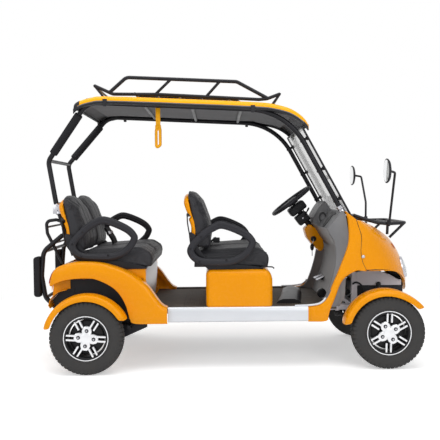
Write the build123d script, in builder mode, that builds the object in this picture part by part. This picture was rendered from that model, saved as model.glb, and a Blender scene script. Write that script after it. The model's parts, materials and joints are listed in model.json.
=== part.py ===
"""Small four-seat electric golf cart, millimetres.

+X is forward, +Y is the cart's left, +Z is up. The origin is on the ground
under the middle of the bounding box.
"""

from build123d import *
import os
from math import cos, radians, sin

os.makedirs("parts", exist_ok=True)

# ---- clearances -----------------------------------------------------------
fit_gap = 0.3  # between curved faces that meet
seat_gap = 0.3  # between a piece and what carries it

# ---- wheels ---------------------------------------------------------------
wheel_base = 1878.0
front_hub_x = 1021.0
rear_hub_x = front_hub_x - wheel_base
tyre_r = 230.0
tyre_w = 105.0
tread_half = 44.0  # half width of the flat of the tread
bead_r = 127.0  # ten inch bead seat
bead_half = 40.0
flange_r = 139.0
flange_t = 6.0
front_face_y = 515.0  # outer face of a front tyre
rear_face_y = 590.0
front_wheel_y = front_face_y - tyre_w / 2
rear_wheel_y = rear_face_y - tyre_w / 2
barrel_t = 7.0
spoke_pairs = 6
spoke_disc_t = 14.0
hub_boss_r = 34.0
hub_boss_l = 56.0
spindle_r = 12.0

# ---- steering gear --------------------------------------------------------
kingpin_y = 380.0
kingpin_r = 9.0
upright_r = 18.0
upright_h = 110.0
steer_arm_l = 100.0
steer_arm_t = 12.0
tie_rod_r = 8.5
tie_eye_h = 20.0

# ---- mudguards ------------------------------------------------------------
guard_t = 4.0
front_guard_r = 270.0
front_guard_dx = -18.0
rear_guard_r = 268.0
guard_lip = 34.0
front_guard_span = (36.0, 168.0)  # degrees, from the front round to the rear
rear_guard_span = (24.0, 166.0)
guard_inset = 8.0  # lip outboard of the tyre face

# ---- chassis --------------------------------------------------------------
rail_r = 22.0
rail_y = 220.0
rail_z = 350.0
sill_x = (-362.0, 521.0)
sill_z = (302.0, 394.0)
sill_y = 470.0
sill_t = 32.0
floor_t = 12.0
floor_x = (-498.0, 640.0)

# ---- body -----------------------------------------------------------------
panel_t = 16.0
rear_half = 500.0
cowl_half = 445.0
nose_half = 444.0
nose_tip_x = 1246.0
nose_round_x = 905.0  # where the plan outline starts to round in

# ---- seats ----------------------------------------------------------------
seat_half = 405.0
seat_frame_t = 14.0
arm_half_w = 15.0  # half the width of an armrest, across the cart
arm_half_h = 22.0  # half its height, in the plane of the loop
arm_clear = 12.0  # between a seat's side and its armrest loop
arm_y = seat_half + arm_clear + arm_half_w
rear_well_half = seat_half + 7.0  # inner edge of the side fenders

# ---- canopy ---------------------------------------------------------------
frame_r = 16.0
roof_frame_y = 400.0
hoop_y = 280.0
cross_r = 12.0
roof_half = 440.0
roof_skin = 10.0
rack_r = 9.0
rack_y = 385.0
foam_r = 27.0

# ---- steering wheel -------------------------------------------------------
driver_y = 200.0
wheel_centre = (492.0, driver_y, 1052.0)
column_rake = 36.7  # degrees between the wheel's plane and the ground
wheel_ring_r = 156.0
wheel_grip_r = 12.5
shaft_r = 11.0


def bent_tube(points, bends, tube_r, bore_r=0.0):
    """Adds a round tube along straight runs joined by bends."""
    with BuildLine(mode=Mode.PRIVATE) as path:
        FilletPolyline(*points, radius=bends)
    start = path.line @ 0
    with BuildSketch(Plane(origin=start, z_dir=path.line % 0), mode=Mode.PRIVATE) as ring:
        Circle(tube_r)
        if bore_r:
            Circle(bore_r, mode=Mode.SUBTRACT)
    sweep(sections=ring.sketch, path=path.line)


def rod(start, end, rod_r):
    """Adds a round bar between two points."""
    run = Vector(*end) - Vector(*start)
    with BuildSketch(Plane(origin=start, z_dir=run), mode=Mode.PRIVATE) as disc:
        Circle(rod_r)
    extrude(to_extrude=disc.sketch, amount=run.length)


def side_plate(points, y_low, y_high, mode=Mode.ADD):
    """Adds an outline drawn in X and Z, from y_low to y_high."""
    with BuildSketch(Plane.XZ.offset(-y_high), mode=Mode.PRIVATE) as face:
        with BuildLine():
            Polyline(*points, close=True)
        make_face()
    extrude(to_extrude=face.sketch, amount=y_high - y_low, mode=mode)


def block(x, y, z, mode=Mode.ADD):
    """Adds a box from three (low, high) pairs."""
    centre = ((x[0] + x[1]) / 2, (y[0] + y[1]) / 2, (z[0] + z[1]) / 2)
    with Locations(centre):
        Box(x[1] - x[0], y[1] - y[0], z[1] - z[0], mode=mode)


def save(piece, name):
    """Labels a finished piece and writes it."""
    piece.part.label = name
    export_step(piece.part, f"parts/{name}.step")


# ===== wheels ==============================================================
def make_tyre(hub_x, wheel_y):
    """A tyre with its beads on the rim's seats."""
    with BuildPart() as tyre:
        with BuildSketch(Plane(origin=(hub_x, wheel_y, tyre_r), x_dir=(1, 0, 0), z_dir=(0, 0, 1))):
            with BuildLine():
                l1 = Line((bead_r + fit_gap, -bead_half), (bead_r + fit_gap, bead_half))
                side = tyre_w / 2
                l2 = Line(l1 @ 1, (flange_r + fit_gap, bead_half))
                a1 = ThreePointArc(l2 @ 1, (bead_r + 52, side), (tyre_r - 9, tread_half))
                a2 = ThreePointArc(a1 @ 1, (tyre_r, 0), (tyre_r - 9, -tread_half))
                a3 = ThreePointArc(a2 @ 1, (bead_r + 52, -side), (flange_r + fit_gap, -bead_half))
                Line(a3 @ 1, l1 @ 0)
            make_face()
        revolve(axis=Axis((hub_x, 0, tyre_r), (0, 1, 0)))
    return tyre


def make_rim(hub_x, wheel_y, outward):
    """An alloy rim: barrel, flanges, spoked disc near the outer side, hub boss."""
    half = bead_half + flange_t
    with BuildPart() as rim:
        with BuildSketch(Plane(origin=(hub_x, wheel_y, tyre_r), x_dir=(1, 0, 0), z_dir=(0, 0, 1))):
            with BuildLine():
                Polyline(
                    (bead_r - barrel_t, -half),
                    (flange_r, -half),
                    (flange_r, -bead_half - fit_gap),
                    (bead_r, -bead_half - fit_gap),
                    (bead_r, bead_half + fit_gap),
                    (flange_r, bead_half + fit_gap),
                    (flange_r, half),
                    (bead_r - barrel_t, half),
                    close=True,
                )
            make_face()
        revolve(axis=Axis((hub_x, 0, tyre_r), (0, 1, 0)))
        face_y = wheel_y + outward * (half - 8)
        disc_plane = Plane(origin=(hub_x, face_y, tyre_r), x_dir=(1, 0, 0), z_dir=(0, -outward, 0))
        with BuildSketch(disc_plane):
            Circle(bead_r - barrel_t + 1)
            with PolarLocations(0, spoke_pairs, start_angle=180 / spoke_pairs):
                Polygon((78, -18), (110, -36), (110, 36), (78, 18), align=None, mode=Mode.SUBTRACT)
            with PolarLocations(98, spoke_pairs):
                Rectangle(34, 16, mode=Mode.SUBTRACT)
        extrude(amount=spoke_disc_t)
        with BuildSketch(disc_plane):
            Circle(hub_boss_r)
        extrude(amount=hub_boss_l)
        with BuildSketch(disc_plane.offset(-20)):
            Circle(spindle_r + fit_gap)
        extrude(amount=hub_boss_l + 40, mode=Mode.SUBTRACT)
    return rim


wheel_rows = (
    ("front_right", front_hub_x, -front_wheel_y, -1),
    ("front_left", front_hub_x, front_wheel_y, 1),
    ("rear_right", rear_hub_x, -rear_wheel_y, -1),
    ("rear_left", rear_hub_x, rear_wheel_y, 1),
)
for name, hub_x, wheel_y, outward in wheel_rows:
    save(make_tyre(hub_x, wheel_y), "tyre_" + name)
    save(make_rim(hub_x, wheel_y, outward), "rim_" + name)

rim_half = bead_half + flange_t


# ===== mudguards ===========================================================
def guard_shell(hub_x, guard_r, span, y_in, y_out):
    """Adds an arched guard with a lip down its outer side; y grows outward."""
    low, high = span
    mid = (low + high) / 2

    def at(radius, angle):
        return (hub_x + radius * cos(radians(angle)), tyre_r + radius * sin(radians(angle)))

    strips = ((guard_r - guard_t, y_in, y_out), (guard_r - guard_lip, y_out - guard_t, y_out))
    for inner_r, y_a, y_b in strips:
        y_low, y_high = min(y_a, y_b), max(y_a, y_b)
        with BuildSketch(Plane.XZ.offset(-y_high), mode=Mode.PRIVATE) as band:
            with BuildLine():
                outer = ThreePointArc(at(guard_r, low), at(guard_r, mid), at(guard_r, high))
                inner = ThreePointArc(at(inner_r, low), at(inner_r, mid), at(inner_r, high))
                Line(outer @ 0, inner @ 0)
                Line(outer @ 1, inner @ 1)
            make_face()
        extrude(to_extrude=band.sketch, amount=y_high - y_low)


front_guard_in = kingpin_y + upright_r + 3
front_guard_out = front_face_y + guard_inset
guard_bar_y = (front_guard_in, front_guard_in + 6)
for name, side in (("right", -1), ("left", 1)):
    with BuildPart() as guard:
        guard_shell(
            front_hub_x + front_guard_dx, front_guard_r, front_guard_span, front_guard_in, front_guard_out
        )
        if side < 0:
            mirror(about=Plane.XZ)
            split(bisect_by=Plane.XZ, keep=Keep.TOP)
    save(guard, "front_mudguard_" + name)

# ===== front knuckles, axle and steering ===================================
upright_z = (tyre_r - upright_h / 2, tyre_r + upright_h / 2)
ear_t = 14.0
arm_z = (upright_z[0] + 4, upright_z[0] + 4 + steer_arm_t)
boss_inner_y = front_wheel_y + rim_half - 8 - hub_boss_l

for name, side in (("right", -1), ("left", 1)):
    with BuildPart() as knuckle:
        with Locations((front_hub_x, side * kingpin_y, tyre_r)):
            Cylinder(upright_r, upright_h)
        rod((front_hub_x, side * kingpin_y, tyre_r), (front_hub_x, side * (boss_inner_y - 0.5), tyre_r), 17)
        rod(
            (front_hub_x, side * (boss_inner_y - 5), tyre_r),
            (front_hub_x, side * (front_wheel_y + rim_half - 6), tyre_r),
            spindle_r,
        )
        arm_y_pair = sorted((side * (kingpin_y - 14), side * (kingpin_y + 14)))
        block((front_hub_x - steer_arm_l - 14, front_hub_x), arm_y_pair, arm_z)
        bar_y = sorted((side * guard_bar_y[0], side * guard_bar_y[1]))
        guard_top = tyre_r + front_guard_r - guard_t - 1
        bar_x = (front_hub_x + front_guard_dx - 20, front_hub_x + front_guard_dx + 20)
        block(bar_x, bar_y, (tyre_r + 20, guard_top))
        foot_y = sorted((side * (kingpin_y + 8), side * guard_bar_y[1]))
        block(bar_x, foot_y, (tyre_r + 14, tyre_r + 34))
        with Locations((front_hub_x, side * kingpin_y, tyre_r)):
            Cylinder(kingpin_r + fit_gap, upright_h + 20, mode=Mode.SUBTRACT)
    save(knuckle, "knuckle_" + name)

axle_beam = 50.0
web_y = (kingpin_y - 50, kingpin_y - 34)
web_x = (front_hub_x - 21, front_hub_x + 21)
ear_low = (upright_z[0] - seat_gap - ear_t, upright_z[0] - seat_gap)
ear_high = (upright_z[1] + seat_gap, upright_z[1] + seat_gap + ear_t)
half_beam = axle_beam / 2
with BuildPart() as front_axle:
    beam_x = (front_hub_x - half_beam, front_hub_x + half_beam)
    block(beam_x, (0, web_y[1]), (tyre_r - half_beam, tyre_r + half_beam))
    block(web_x, web_y, (ear_low[0], ear_high[1]))
    for ear in (ear_low, ear_high):
        block(web_x, (web_y[0], kingpin_y), ear)
        with Locations((front_hub_x, kingpin_y, (ear[0] + ear[1]) / 2)):
            Cylinder(21, ear_t)
    with Locations((front_hub_x, kingpin_y, tyre_r)):
        Cylinder(kingpin_r, ear_high[1] - ear_low[0] + 12)
    rod((front_hub_x, 250, tyre_r), (752, 226, rail_z - 44), 13)
    with Locations((748, 226, rail_z - 44)):
        Sphere(20)
    mirror(about=Plane.XZ)
save(front_axle, "front_axle")

tie_x = front_hub_x - steer_arm_l
tie_z = arm_z[1] + seat_gap + tie_eye_h / 2
with BuildPart() as tie_rod:
    rod((tie_x, -kingpin_y, tie_z), (tie_x, kingpin_y, tie_z), tie_rod_r)
    for side in (-1, 1):
        with Locations((tie_x, side * kingpin_y, tie_z)):
            Cylinder(14, tie_eye_h)
save(tie_rod, "tie_rod")

column_axis = Vector(-sin(radians(column_rake)), 0, cos(radians(column_rake)))
wheel_plane = Plane(origin=wheel_centre, x_dir=(0, 1, 0), z_dir=column_axis)


def down_column(distance):
    """A point on the steering axis, measured down from the wheel's centre."""
    return Vector(*wheel_centre) - column_axis * distance


jacket_start, jacket_end = 38.0, 245.0
with BuildPart() as steering_wheel:
    across_column = (cos(radians(column_rake)), 0, sin(radians(column_rake)))
    ring_side = Plane(origin=wheel_centre, x_dir=(0, 1, 0), z_dir=across_column)
    with BuildSketch(ring_side):
        with Locations((wheel_ring_r, 0)):
            Circle(wheel_grip_r)
    revolve(axis=Axis(wheel_centre, column_axis))
    with BuildSketch(wheel_plane.offset(-30)):
        Circle(46)
    extrude(amount=34, taper=8)
    with BuildSketch(wheel_plane.offset(-9)):
        with PolarLocations(0, 3, start_angle=-90):
            with Locations((92, 0)):
                Rectangle(122, 34)
        Circle(40)
    extrude(amount=9)
    rod(down_column(20), down_column(jacket_end + 40), shaft_r)
save(steering_wheel, "steering_wheel")

# ===== rear axle ===========================================================
rear_boss_inner = rear_wheel_y + rim_half - 8 - hub_boss_l
axle_tube_end = rear_boss_inner - 0.5
motor_r = 92.0
with BuildPart() as rear_axle:
    rod((rear_hub_x, -axle_tube_end, tyre_r), (rear_hub_x, axle_tube_end, tyre_r), 26)
    spindle_end = rear_wheel_y + rim_half - 6
    rod((rear_hub_x, -spindle_end, tyre_r), (rear_hub_x, spindle_end, tyre_r), spindle_r)
    rod((rear_hub_x, -70, tyre_r), (rear_hub_x, 70, tyre_r), 78)
    rod((rear_hub_x + 10, 60, tyre_r + 10), (rear_hub_x + 10, 290, tyre_r + 10), motor_r)
    for side in (-1, 1):
        brake_y = sorted((side * (axle_tube_end - 40), side * (axle_tube_end - 22)))
        rod((rear_hub_x, brake_y[0], tyre_r), (rear_hub_x, brake_y[1], tyre_r), 85)
save(rear_axle, "rear_axle")

rear_guard_in, rear_guard_out = 486.0, rear_face_y + guard_inset
arm_pivot = (rear_hub_x + 329, 288.0)
arm_y_in, arm_y_out = 392.0, 400.0
arm_side = (
    (arm_pivot[0] + 28, 318.0),
    (arm_pivot[0] + 28, 262.0),
    (rear_hub_x + 217, 200.0),
    (rear_hub_x - 13, 196.0),
    (rear_hub_x - 13, 262.0),
    (rear_hub_x + 217, 300.0),
)
tab_x = rear_hub_x + rear_guard_r - 7  # front face of the guards' tabs
tab_z = (264.0, 288.0)
with BuildPart() as swing_arms:
    for side in (-1, 1):
        y_low, y_high = sorted((side * arm_y_in, side * arm_y_out))
        side_plate(arm_side, y_low, y_high)
        pin_ends = [(arm_pivot[0], side * y, arm_pivot[1]) for y in (arm_y_in - 100, arm_y_out + 14)]
        rod(*pin_ends, 13)
        tab_y = sorted((side * arm_y_out, side * 448))
        foot_y = sorted((side * 440, side * (rear_guard_in - seat_gap)))
        block((tab_x - 20, tab_x), foot_y, tab_z)
        block((tab_x - 54, tab_x), tab_y, tab_z)
    add(rear_axle.part, mode=Mode.SUBTRACT)
save(swing_arms, "swing_arms")

for name, side in (("right", -1), ("left", 1)):
    with BuildPart() as guard:
        guard_shell(rear_hub_x, rear_guard_r, rear_guard_span, rear_guard_in, rear_guard_out)
        block((tab_x - 22, tab_x - 6), (rear_guard_in, rear_guard_in + 6), (268, 345))
        if side < 0:
            mirror(about=Plane.XZ)
            split(bisect_by=Plane.XZ, keep=Keep.TOP)
    save(guard, "rear_mudguard_" + name)

# ===== chassis =============================================================
rail_front_x = 840.0
rail_points = [
    (-1085, rail_y, 560),
    (-660, rail_y, 560),
    (-545, rail_y, rail_z),
    (rail_front_x, rail_y, rail_z),
]
with BuildPart() as chassis_rails:
    for side in (-1, 1):
        bent_tube([(x, side * y, z) for x, y, z in rail_points], 70, rail_r)
        hanger_x = arm_pivot[0]
        rod((hanger_x, side * rail_y, rail_z), (hanger_x, side * rail_y, arm_pivot[1] - 20), 18)
        rod((hanger_x, side * rail_y, arm_pivot[1]), (hanger_x, side * (arm_y_in - 100), arm_pivot[1]), 16)
        rod((748, side * 226, rail_z), (748, side * 226, rail_z - 44 + 20), 14)
save(chassis_rails, "chassis_rails")

cross_member_r = 18.0
outrigger_r = 12.0
outrigger_z = rail_z - 8.0
outrigger_y = sill_y - sill_t - seat_gap
with BuildPart() as cross_members:
    for x, z in ((-1060, 560), (-700, 560), (-430, rail_z), (60, rail_z), (560, rail_z)):
        rod((x, -rail_y, z), (x, rail_y, z), cross_member_r)
    for x in (-330, -60, 330, 480):
        rod((x, -outrigger_y, outrigger_z), (x, outrigger_y, outrigger_z), outrigger_r)
    add(chassis_rails.part, mode=Mode.SUBTRACT)
save(cross_members, "cross_members")

with BuildPart() as sills:
    for side in (-1, 1):
        y_low, y_high = sorted((side * (sill_y - sill_t), side * sill_y))
        block(sill_x, (y_low, y_high), sill_z)
    outer_edges = edges().filter_by(Axis.X).group_by(SortBy.LENGTH)[-1]
    fillet(outer_edges, 7)
save(sills, "sills")

floor_top = rail_z + rail_r + floor_t
with BuildPart() as floor_pan:
    floor_half = sill_y - sill_t - seat_gap
    block(floor_x, (-floor_half, floor_half), (floor_top - floor_t, floor_top))
save(floor_pan, "floor_pan")

sub_y = 200.0
sub_z = (490.0, 526.0)
sub_front_x = 1176.0
with BuildPart() as front_subframe:
    for side in (-1, 1):
        y_pair = sorted((side * (sub_y + 16), side * (sub_y - 16)))
        block((846, 882), y_pair, (322, 578))
        block((850, sub_front_x), y_pair, sub_z)
        plate_y = sorted((side * (sub_y + 16), side * (sub_y + 20)))
        side_plate(((880, 524), (880, 578), (980, 600), (1100, 560), (1160, 524)), *plate_y)
    block((sub_front_x - 36, sub_front_x), (-sub_y, sub_y), (sub_z[0] + 2, sub_z[1] - 2))
    block((848, 880), (-sub_y, sub_y), (540, 572))
    block((848, 880), (-sub_y, sub_y), (335, 365))
    add(chassis_rails.part, mode=Mode.SUBTRACT)
    add(cross_members.part, mode=Mode.SUBTRACT)
save(front_subframe, "front_subframe")

with BuildPart() as springs:
    for side in (-1, 1):
        for foot, head in (
            ((front_hub_x, side * 285, tyre_r + half_beam), (front_hub_x, side * 232, 500)),
            ((rear_hub_x, side * 300, tyre_r + 26), (rear_hub_x + 10, side * 262, 556)),
        ):
            low, high = Vector(*foot), Vector(*head)
            rod(low, high, 10)
            rod(low + (high - low) * 0.22, low + (high - low) * 0.86, 27)
            with Locations(high):
                Sphere(16)
            with Locations(low):
                Sphere(16)
    for other in (front_axle, rear_axle, chassis_rails, cross_members, front_subframe):
        add(other.part, mode=Mode.SUBTRACT)
save(springs, "spring_struts")

# ===== canopy frame ========================================================
hoop_top = (-1142.0, 1330.0)
roof_rear = (-859.0, 1691.0)
roof_front = (398.0, 1628.0)
pillar_foot = (800.0, 892.0)
frame_runs = [
    (-985.0, hoop_y + 12, 716.0),
    (-1096.0, hoop_y, 1050.0),
    (hoop_top[0], hoop_y, hoop_top[1]),
    (roof_rear[0], roof_frame_y, roof_rear[1]),
    (roof_front[0], roof_frame_y, roof_front[1]),
    (pillar_foot[0], roof_frame_y, pillar_foot[1]),
]


def roof_line(x):
    """Height of the roof tubes' centre line."""
    share = (x - roof_rear[0]) / (roof_front[0] - roof_rear[0])
    return roof_rear[1] + share * (roof_front[1] - roof_rear[1])


def pillar_x(z):
    """Fore and aft place of the front pillars' centre line at a height."""
    share = (roof_front[1] - z) / (roof_front[1] - pillar_foot[1])
    return roof_front[0] + share * (pillar_foot[0] - roof_front[0])


screen_gap = 30.0  # from the pillar's centre line to the screen's inner face
screen_t = 5.0
pillar_dir = Vector(pillar_foot[0] - roof_front[0], 0, pillar_foot[1] - roof_front[1]).normalized()
pillar_out = Vector(-pillar_dir.Z, 0, pillar_dir.X)
with BuildPart() as canopy_frame:
    for side in (-1, 1):
        bent_tube([(x, side * y, z) for x, y, z in frame_runs], [300, 60, 130, 420], frame_r)
        for z in (1440, 1250, 1060):
            root = Vector(pillar_x(z), side * roof_frame_y, z)
            rod(root, root + pillar_out * (screen_gap - seat_gap), 9)
    rod((hoop_top[0] + 8, -hoop_y, hoop_top[1] + 2), (hoop_top[0] + 8, hoop_y, hoop_top[1] + 2), cross_r)
    rod((-1096, -hoop_y, 1050), (-1096, hoop_y, 1050), cross_r)
    for x in (-700, -250, 200):
        rod((x, -roof_frame_y, roof_line(x)), (x, roof_frame_y, roof_line(x)), cross_r)
save(canopy_frame, "canopy_frame")

foam_low = Vector(hoop_top[0], hoop_y, hoop_top[1])
foam_high = Vector(roof_rear[0], roof_frame_y, roof_rear[1])
foam_run = (0.13, 0.80)  # share of the slanting run that is covered
with BuildPart() as foam_sleeves:
    start = foam_low + (foam_high - foam_low) * foam_run[0]
    stop = foam_low + (foam_high - foam_low) * foam_run[1]
    rod(start, stop, foam_r)
    mirror(about=Plane.XZ)
    add(canopy_frame.part, mode=Mode.SUBTRACT)
save(foam_sleeves, "foam_sleeves")

# ===== roof ================================================================
roof_top = (
    (-948.0, 1652.0),
    (-935.0, 1682.0),
    (-885.0, 1706.0),
    (-760.0, 1717.0),
    (238.0, 1667.0),
    (395.0, 1643.0),
    (480.0, 1604.0),
    (540.0, 1545.0),
    (536.0, 1528.0),
)
roof_low = (
    (503.0, 1510.0),
    (440.0, 1565.0),
    (360.0, 1600.0),
    (220.0, 1622.0),
    (-760.0, 1672.0),
    (-880.0, 1656.0),
    (-930.0, 1632.0),
)
with BuildPart() as canopy:
    side_plate(roof_top + roof_low, -roof_half, roof_half)
    inner = [(x, z - roof_skin) for x, z in roof_top[3:6]]
    hollow = [(-790.0, 1540.0), (-790.0, 1702.0)] + inner + [(430.0, 1610.0), (440.0, 1500.0)]
    side_plate(hollow, -(roof_half - roof_skin), roof_half - roof_skin, mode=Mode.SUBTRACT)
    add(canopy_frame.part, mode=Mode.SUBTRACT)
    add(foam_sleeves.part, mode=Mode.SUBTRACT)
save(canopy, "canopy")

liner_drop = cross_r + seat_gap
liner_half = roof_frame_y - frame_r - 4
with BuildPart() as headliner:
    x_pair = (-775.0, 205.0)
    low = [(x, roof_line(x) - liner_drop - 8) for x in x_pair]
    high = [(x, roof_line(x) - liner_drop) for x in reversed(x_pair)]
    side_plate(low + high, -liner_half, liner_half)
save(headliner, "headliner")

with BuildPart() as windscreen:
    face_point = Vector(pillar_x(1480.0), 0, 1480.0) + pillar_out * screen_gap
    foot_point = Vector(pillar_x(950.0), 0, 950.0) + pillar_out * screen_gap
    back_top = face_point + pillar_out * screen_t
    back_foot = foot_point + pillar_out * screen_t
    side_plate([(p.X, p.Z) for p in (face_point, foot_point, back_foot, back_top)], -425, 425)
save(windscreen, "windscreen")


def height_on(points, x):
    """Height of a run of (x, z) points at a place along it."""
    for (x0, z0), (x1, z1) in zip(points, points[1:]):
        if x0 <= x <= x1:
            return z0 + (z1 - z0) * (x - x0) / (x1 - x0)
    return points[0][1]


rack_low = (
    (-815.0, 1798.0),
    (-698.0, 1744.0),
    (-421.0, 1740.0),
    (-141.0, 1724.0),
    (225.0, 1702.0),
    (275.0, 1706.0),
    (358.0, 1736.0),
)
rack_high = ((-707.0, 1766.0), (-612.0, 1848.0), (85.0, 1815.0), (270.0, 1716.0))
rack_bar_r = 7.0
rack_struts = ((-330.0, -430.0), (-20.0, -110.0))
rack_bars_x = (-560.0, rack_low[2][0], -280.0, rack_low[3][0], 40.0)
with BuildPart() as roof_rack:
    for side in (-1, 1):
        y = side * rack_y
        bent_tube([(x, y, z) for x, z in rack_low], 30, rack_r)
        bent_tube([(x, y, z) for x, z in rack_high], 24, rack_r)
        for top_x, foot_x in rack_struts:
            top, foot = height_on(rack_high, top_x), height_on(rack_low, foot_x)
            rod((top_x, y, top), (foot_x, y, foot), rack_bar_r)
        for tip, foot_x in ((rack_low[0], -752.0), (rack_low[-1], 300.0)):
            rod((tip[0], y, tip[1]), (foot_x, y, height_on(roof_top, foot_x) + 6), rack_bar_r)
        for foot_x, foot_z in rack_low[2:4]:
            rod((foot_x, y, foot_z), (foot_x, y, height_on(roof_top, foot_x) + 1), rack_bar_r)
    for x in (rack_low[0][0], *rack_bars_x, rack_low[-1][0]):
        rod((x, -rack_y, height_on(rack_low, x)), (x, rack_y, height_on(rack_low, x)), rack_bar_r)
    for (x, z), inward in ((rack_high[1], 5.0), (rack_high[2], -5.0)):
        rod((x + inward, -rack_y, z - 2), (x + inward, rack_y, z - 2), rack_r - 1)
    add(canopy.part, mode=Mode.SUBTRACT)
save(roof_rack, "roof_rack")

strap_x, strap_y = -423.0, -300.0
strap_top = roof_line(strap_x) - liner_drop - 9 - seat_gap
with BuildPart() as hand_strap:
    block((strap_x - 15, strap_x + 15), (strap_y - 5, strap_y + 5), (strap_top - 120, strap_top))
    with BuildSketch(Plane.XZ.offset(-(strap_y + 9))):
        with Locations((strap_x, strap_top - 185)):
            RectangleRounded(70, 136, 26)
            RectangleRounded(38, 96, 17, mode=Mode.SUBTRACT)
    extrude(amount=18)
save(hand_strap, "hand_strap")

# ===== rear body ===========================================================
rear_outline = (
    (-1101.0, 549.0),
    (-1074.0, 637.0),
    (-1030.0, 666.0),
    (-930.0, 690.0),
    (-793.0, 684.0),
    (-619.0, 628.0),
    (-489.0, 537.0),
    (-418.0, 439.0),
    (-364.0, 397.0),
)
rear_arch = (
    (-364.0, 302.0),
    (-590.0, 302.0),
    (-601.0, 365.0),
    (-634.0, 460.0),
    (-723.0, 548.0),
    (-859.0, 591.0),
    (-990.0, 579.0),
    (-1084.0, 541.0),
)
with BuildPart() as rear_body:
    side_plate(rear_outline + rear_arch, -rear_half, rear_half)
    under = [(-1150.0, 200.0), (-1085.0, 540.0), (-1062.0, 624.0), (-1026.0, 650.0)]
    under += [(x, z - panel_t) for x, z in rear_outline[3:5]]
    under += [(x - 8, z - panel_t) for x, z in rear_outline[5:8]] + [(-380.0, 388.0), (-380.0, 200.0)]
    skin_half = rear_half - panel_t
    side_plate(under, -skin_half, skin_half, mode=Mode.SUBTRACT)
    block((-1010.0, -300.0), (-rear_well_half, rear_well_half), (200.0, 720.0), mode=Mode.SUBTRACT)
    for other in (sills, canopy_frame, floor_pan, chassis_rails, cross_members):
        add(other.part, mode=Mode.SUBTRACT)
save(rear_body, "rear_body")

tail_x = (-1112.0, -1096.0)
with BuildPart() as tail_panel:
    block(tail_x, (-380, 380), (395, 540))
    block((tail_x[1], tail_x[1] + 60), (-380, 380), (395, 407))
    for side in (-1, 1):
        y_low, y_high = sorted((side * 290, side * 372))
        block((tail_x[0] - 16, tail_x[0]), (y_low, y_high), (430, 500))
    add(chassis_rails.part, mode=Mode.SUBTRACT)
    add(cross_members.part, mode=Mode.SUBTRACT)
save(tail_panel, "tail_panel")

rear_seat_shift = Vector(-745, 0, 8)
base_t = 14.0
rear_base_x = (-985.0, -506.0)
front_seat_z = 640.0
rear_seat_z = front_seat_z + rear_seat_shift.Z
with BuildPart() as rear_seat_base:
    base_half = rear_well_half - 12
    base_z = (floor_top, rear_seat_z - seat_frame_t)
    block(rear_base_x, (-base_half, base_half), base_z)
    inside = base_half - base_t
    inside_x = (rear_base_x[0] - 1, rear_base_x[1] - base_t)
    block(inside_x, (-inside, inside), (base_z[0] - 1, base_z[1] - base_t), mode=Mode.SUBTRACT)
    axle_x = (rear_base_x[0] - 15, rear_base_x[1] - base_t)
    block(axle_x, (-rear_half, rear_half), (300, 570), mode=Mode.SUBTRACT)
    for other in (chassis_rails, cross_members, canopy_frame, springs, floor_pan):
        add(other.part, mode=Mode.SUBTRACT)
save(rear_seat_base, "rear_seat_base")

# ===== front seat box and battery ==========================================
box_x = (-118.0, 300.0)
box_half = sill_y - 22.0
box_wall = 14.0
box_z = (floor_top, front_seat_z - seat_frame_t)
with BuildPart() as front_seat_box:
    block(box_x, (-box_half, box_half), box_z)
    fillet(edges().filter_by(Axis.Y).group_by(Axis.X)[-1].sort_by(Axis.Z)[-1:], 30)
    fillet(edges().filter_by(Axis.Z).group_by(Axis.X)[-1], 40)
    inside_x = (box_x[0] + box_wall, box_x[1] - box_wall)
    inside_y = (-box_half + box_wall, box_half - box_wall)
    block(inside_x, inside_y, (box_z[0] - 1, box_z[1] - box_wall), mode=Mode.SUBTRACT)
    add(sills.part, mode=Mode.SUBTRACT)
save(front_seat_box, "front_seat_box")

with BuildPart() as battery_pack:
    block((box_x[0] + 40, box_x[1] - 50), (-360, 360), (floor_top, box_z[1] - 60))
save(battery_pack, "battery_pack")

# ===== seats ===============================================================
seat_rows = ((0.0, 0.0), (rear_seat_shift.X, rear_seat_shift.Z))
cushion_side = (
    (-196.0, front_seat_z + seat_gap),
    (262.0, front_seat_z + seat_gap),
    (282.0, front_seat_z + 44),
    (270.0, front_seat_z + 96),
    (210.0, front_seat_z + 126),
    (60.0, front_seat_z + 122),
    (-120.0, front_seat_z + 108),
    (-196.0, front_seat_z + 112),
)
back_foot = 786.0
back_top = 1122.0
back_side = (
    (-186.0, back_foot + 4),
    (-92.0, back_foot),
    (-84.0, 830.0),
    (-104.0, 940.0),
    (-160.0, 1092.0),
    (-196.0, back_top),
    (-230.0, back_top - 10),
)
shell_side = (
    (-186.0, 830.0),
    (-232.0, back_top - 14),
    (-248.0, back_top - 16),
    (-259.0, 1084.0),
    (-244.0, 1018.0),
    (-226.0, 940.0),
    (-214.0, 897.0),
    (-212.0, 830.0),
)
rear_back_x = -798.0  # from the front seat's back to the rear one
rear_back_drop = 16.0
rear_back_rise = 0.985  # height of the rear back over the front one
arm_rows = ((0.0, 0.0), (rear_seat_shift.X, 37.0))
arm_loop = (
    (-230.0, 742.0),
    (-140.0, 850.0),
    (-28.0, 914.0),
    (110.0, 864.0),
    (186.0, 806.0),
    (110.0, 704.0),
    (20.0, 676.0),
    (-150.0, 680.0),
)


def moved(points, row):
    """An outline shifted to a seat row."""
    return [(x + row[0], z + row[1]) for x, z in points]


def reclined(points):
    """An outline of the front seat's back, carried to the rear bench."""
    foot = back_foot - rear_back_drop
    return [(x + rear_back_x, foot + (z - back_foot) * rear_back_rise) for x, z in points]


with BuildPart() as seat_cushions:
    for row in seat_rows:
        side_plate(moved(cushion_side, row), -seat_half, seat_half)
    fillet(edges().group_by(Axis.Y)[0] + edges().group_by(Axis.Y)[-1], 14)
save(seat_cushions, "seat_cushions")

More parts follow.
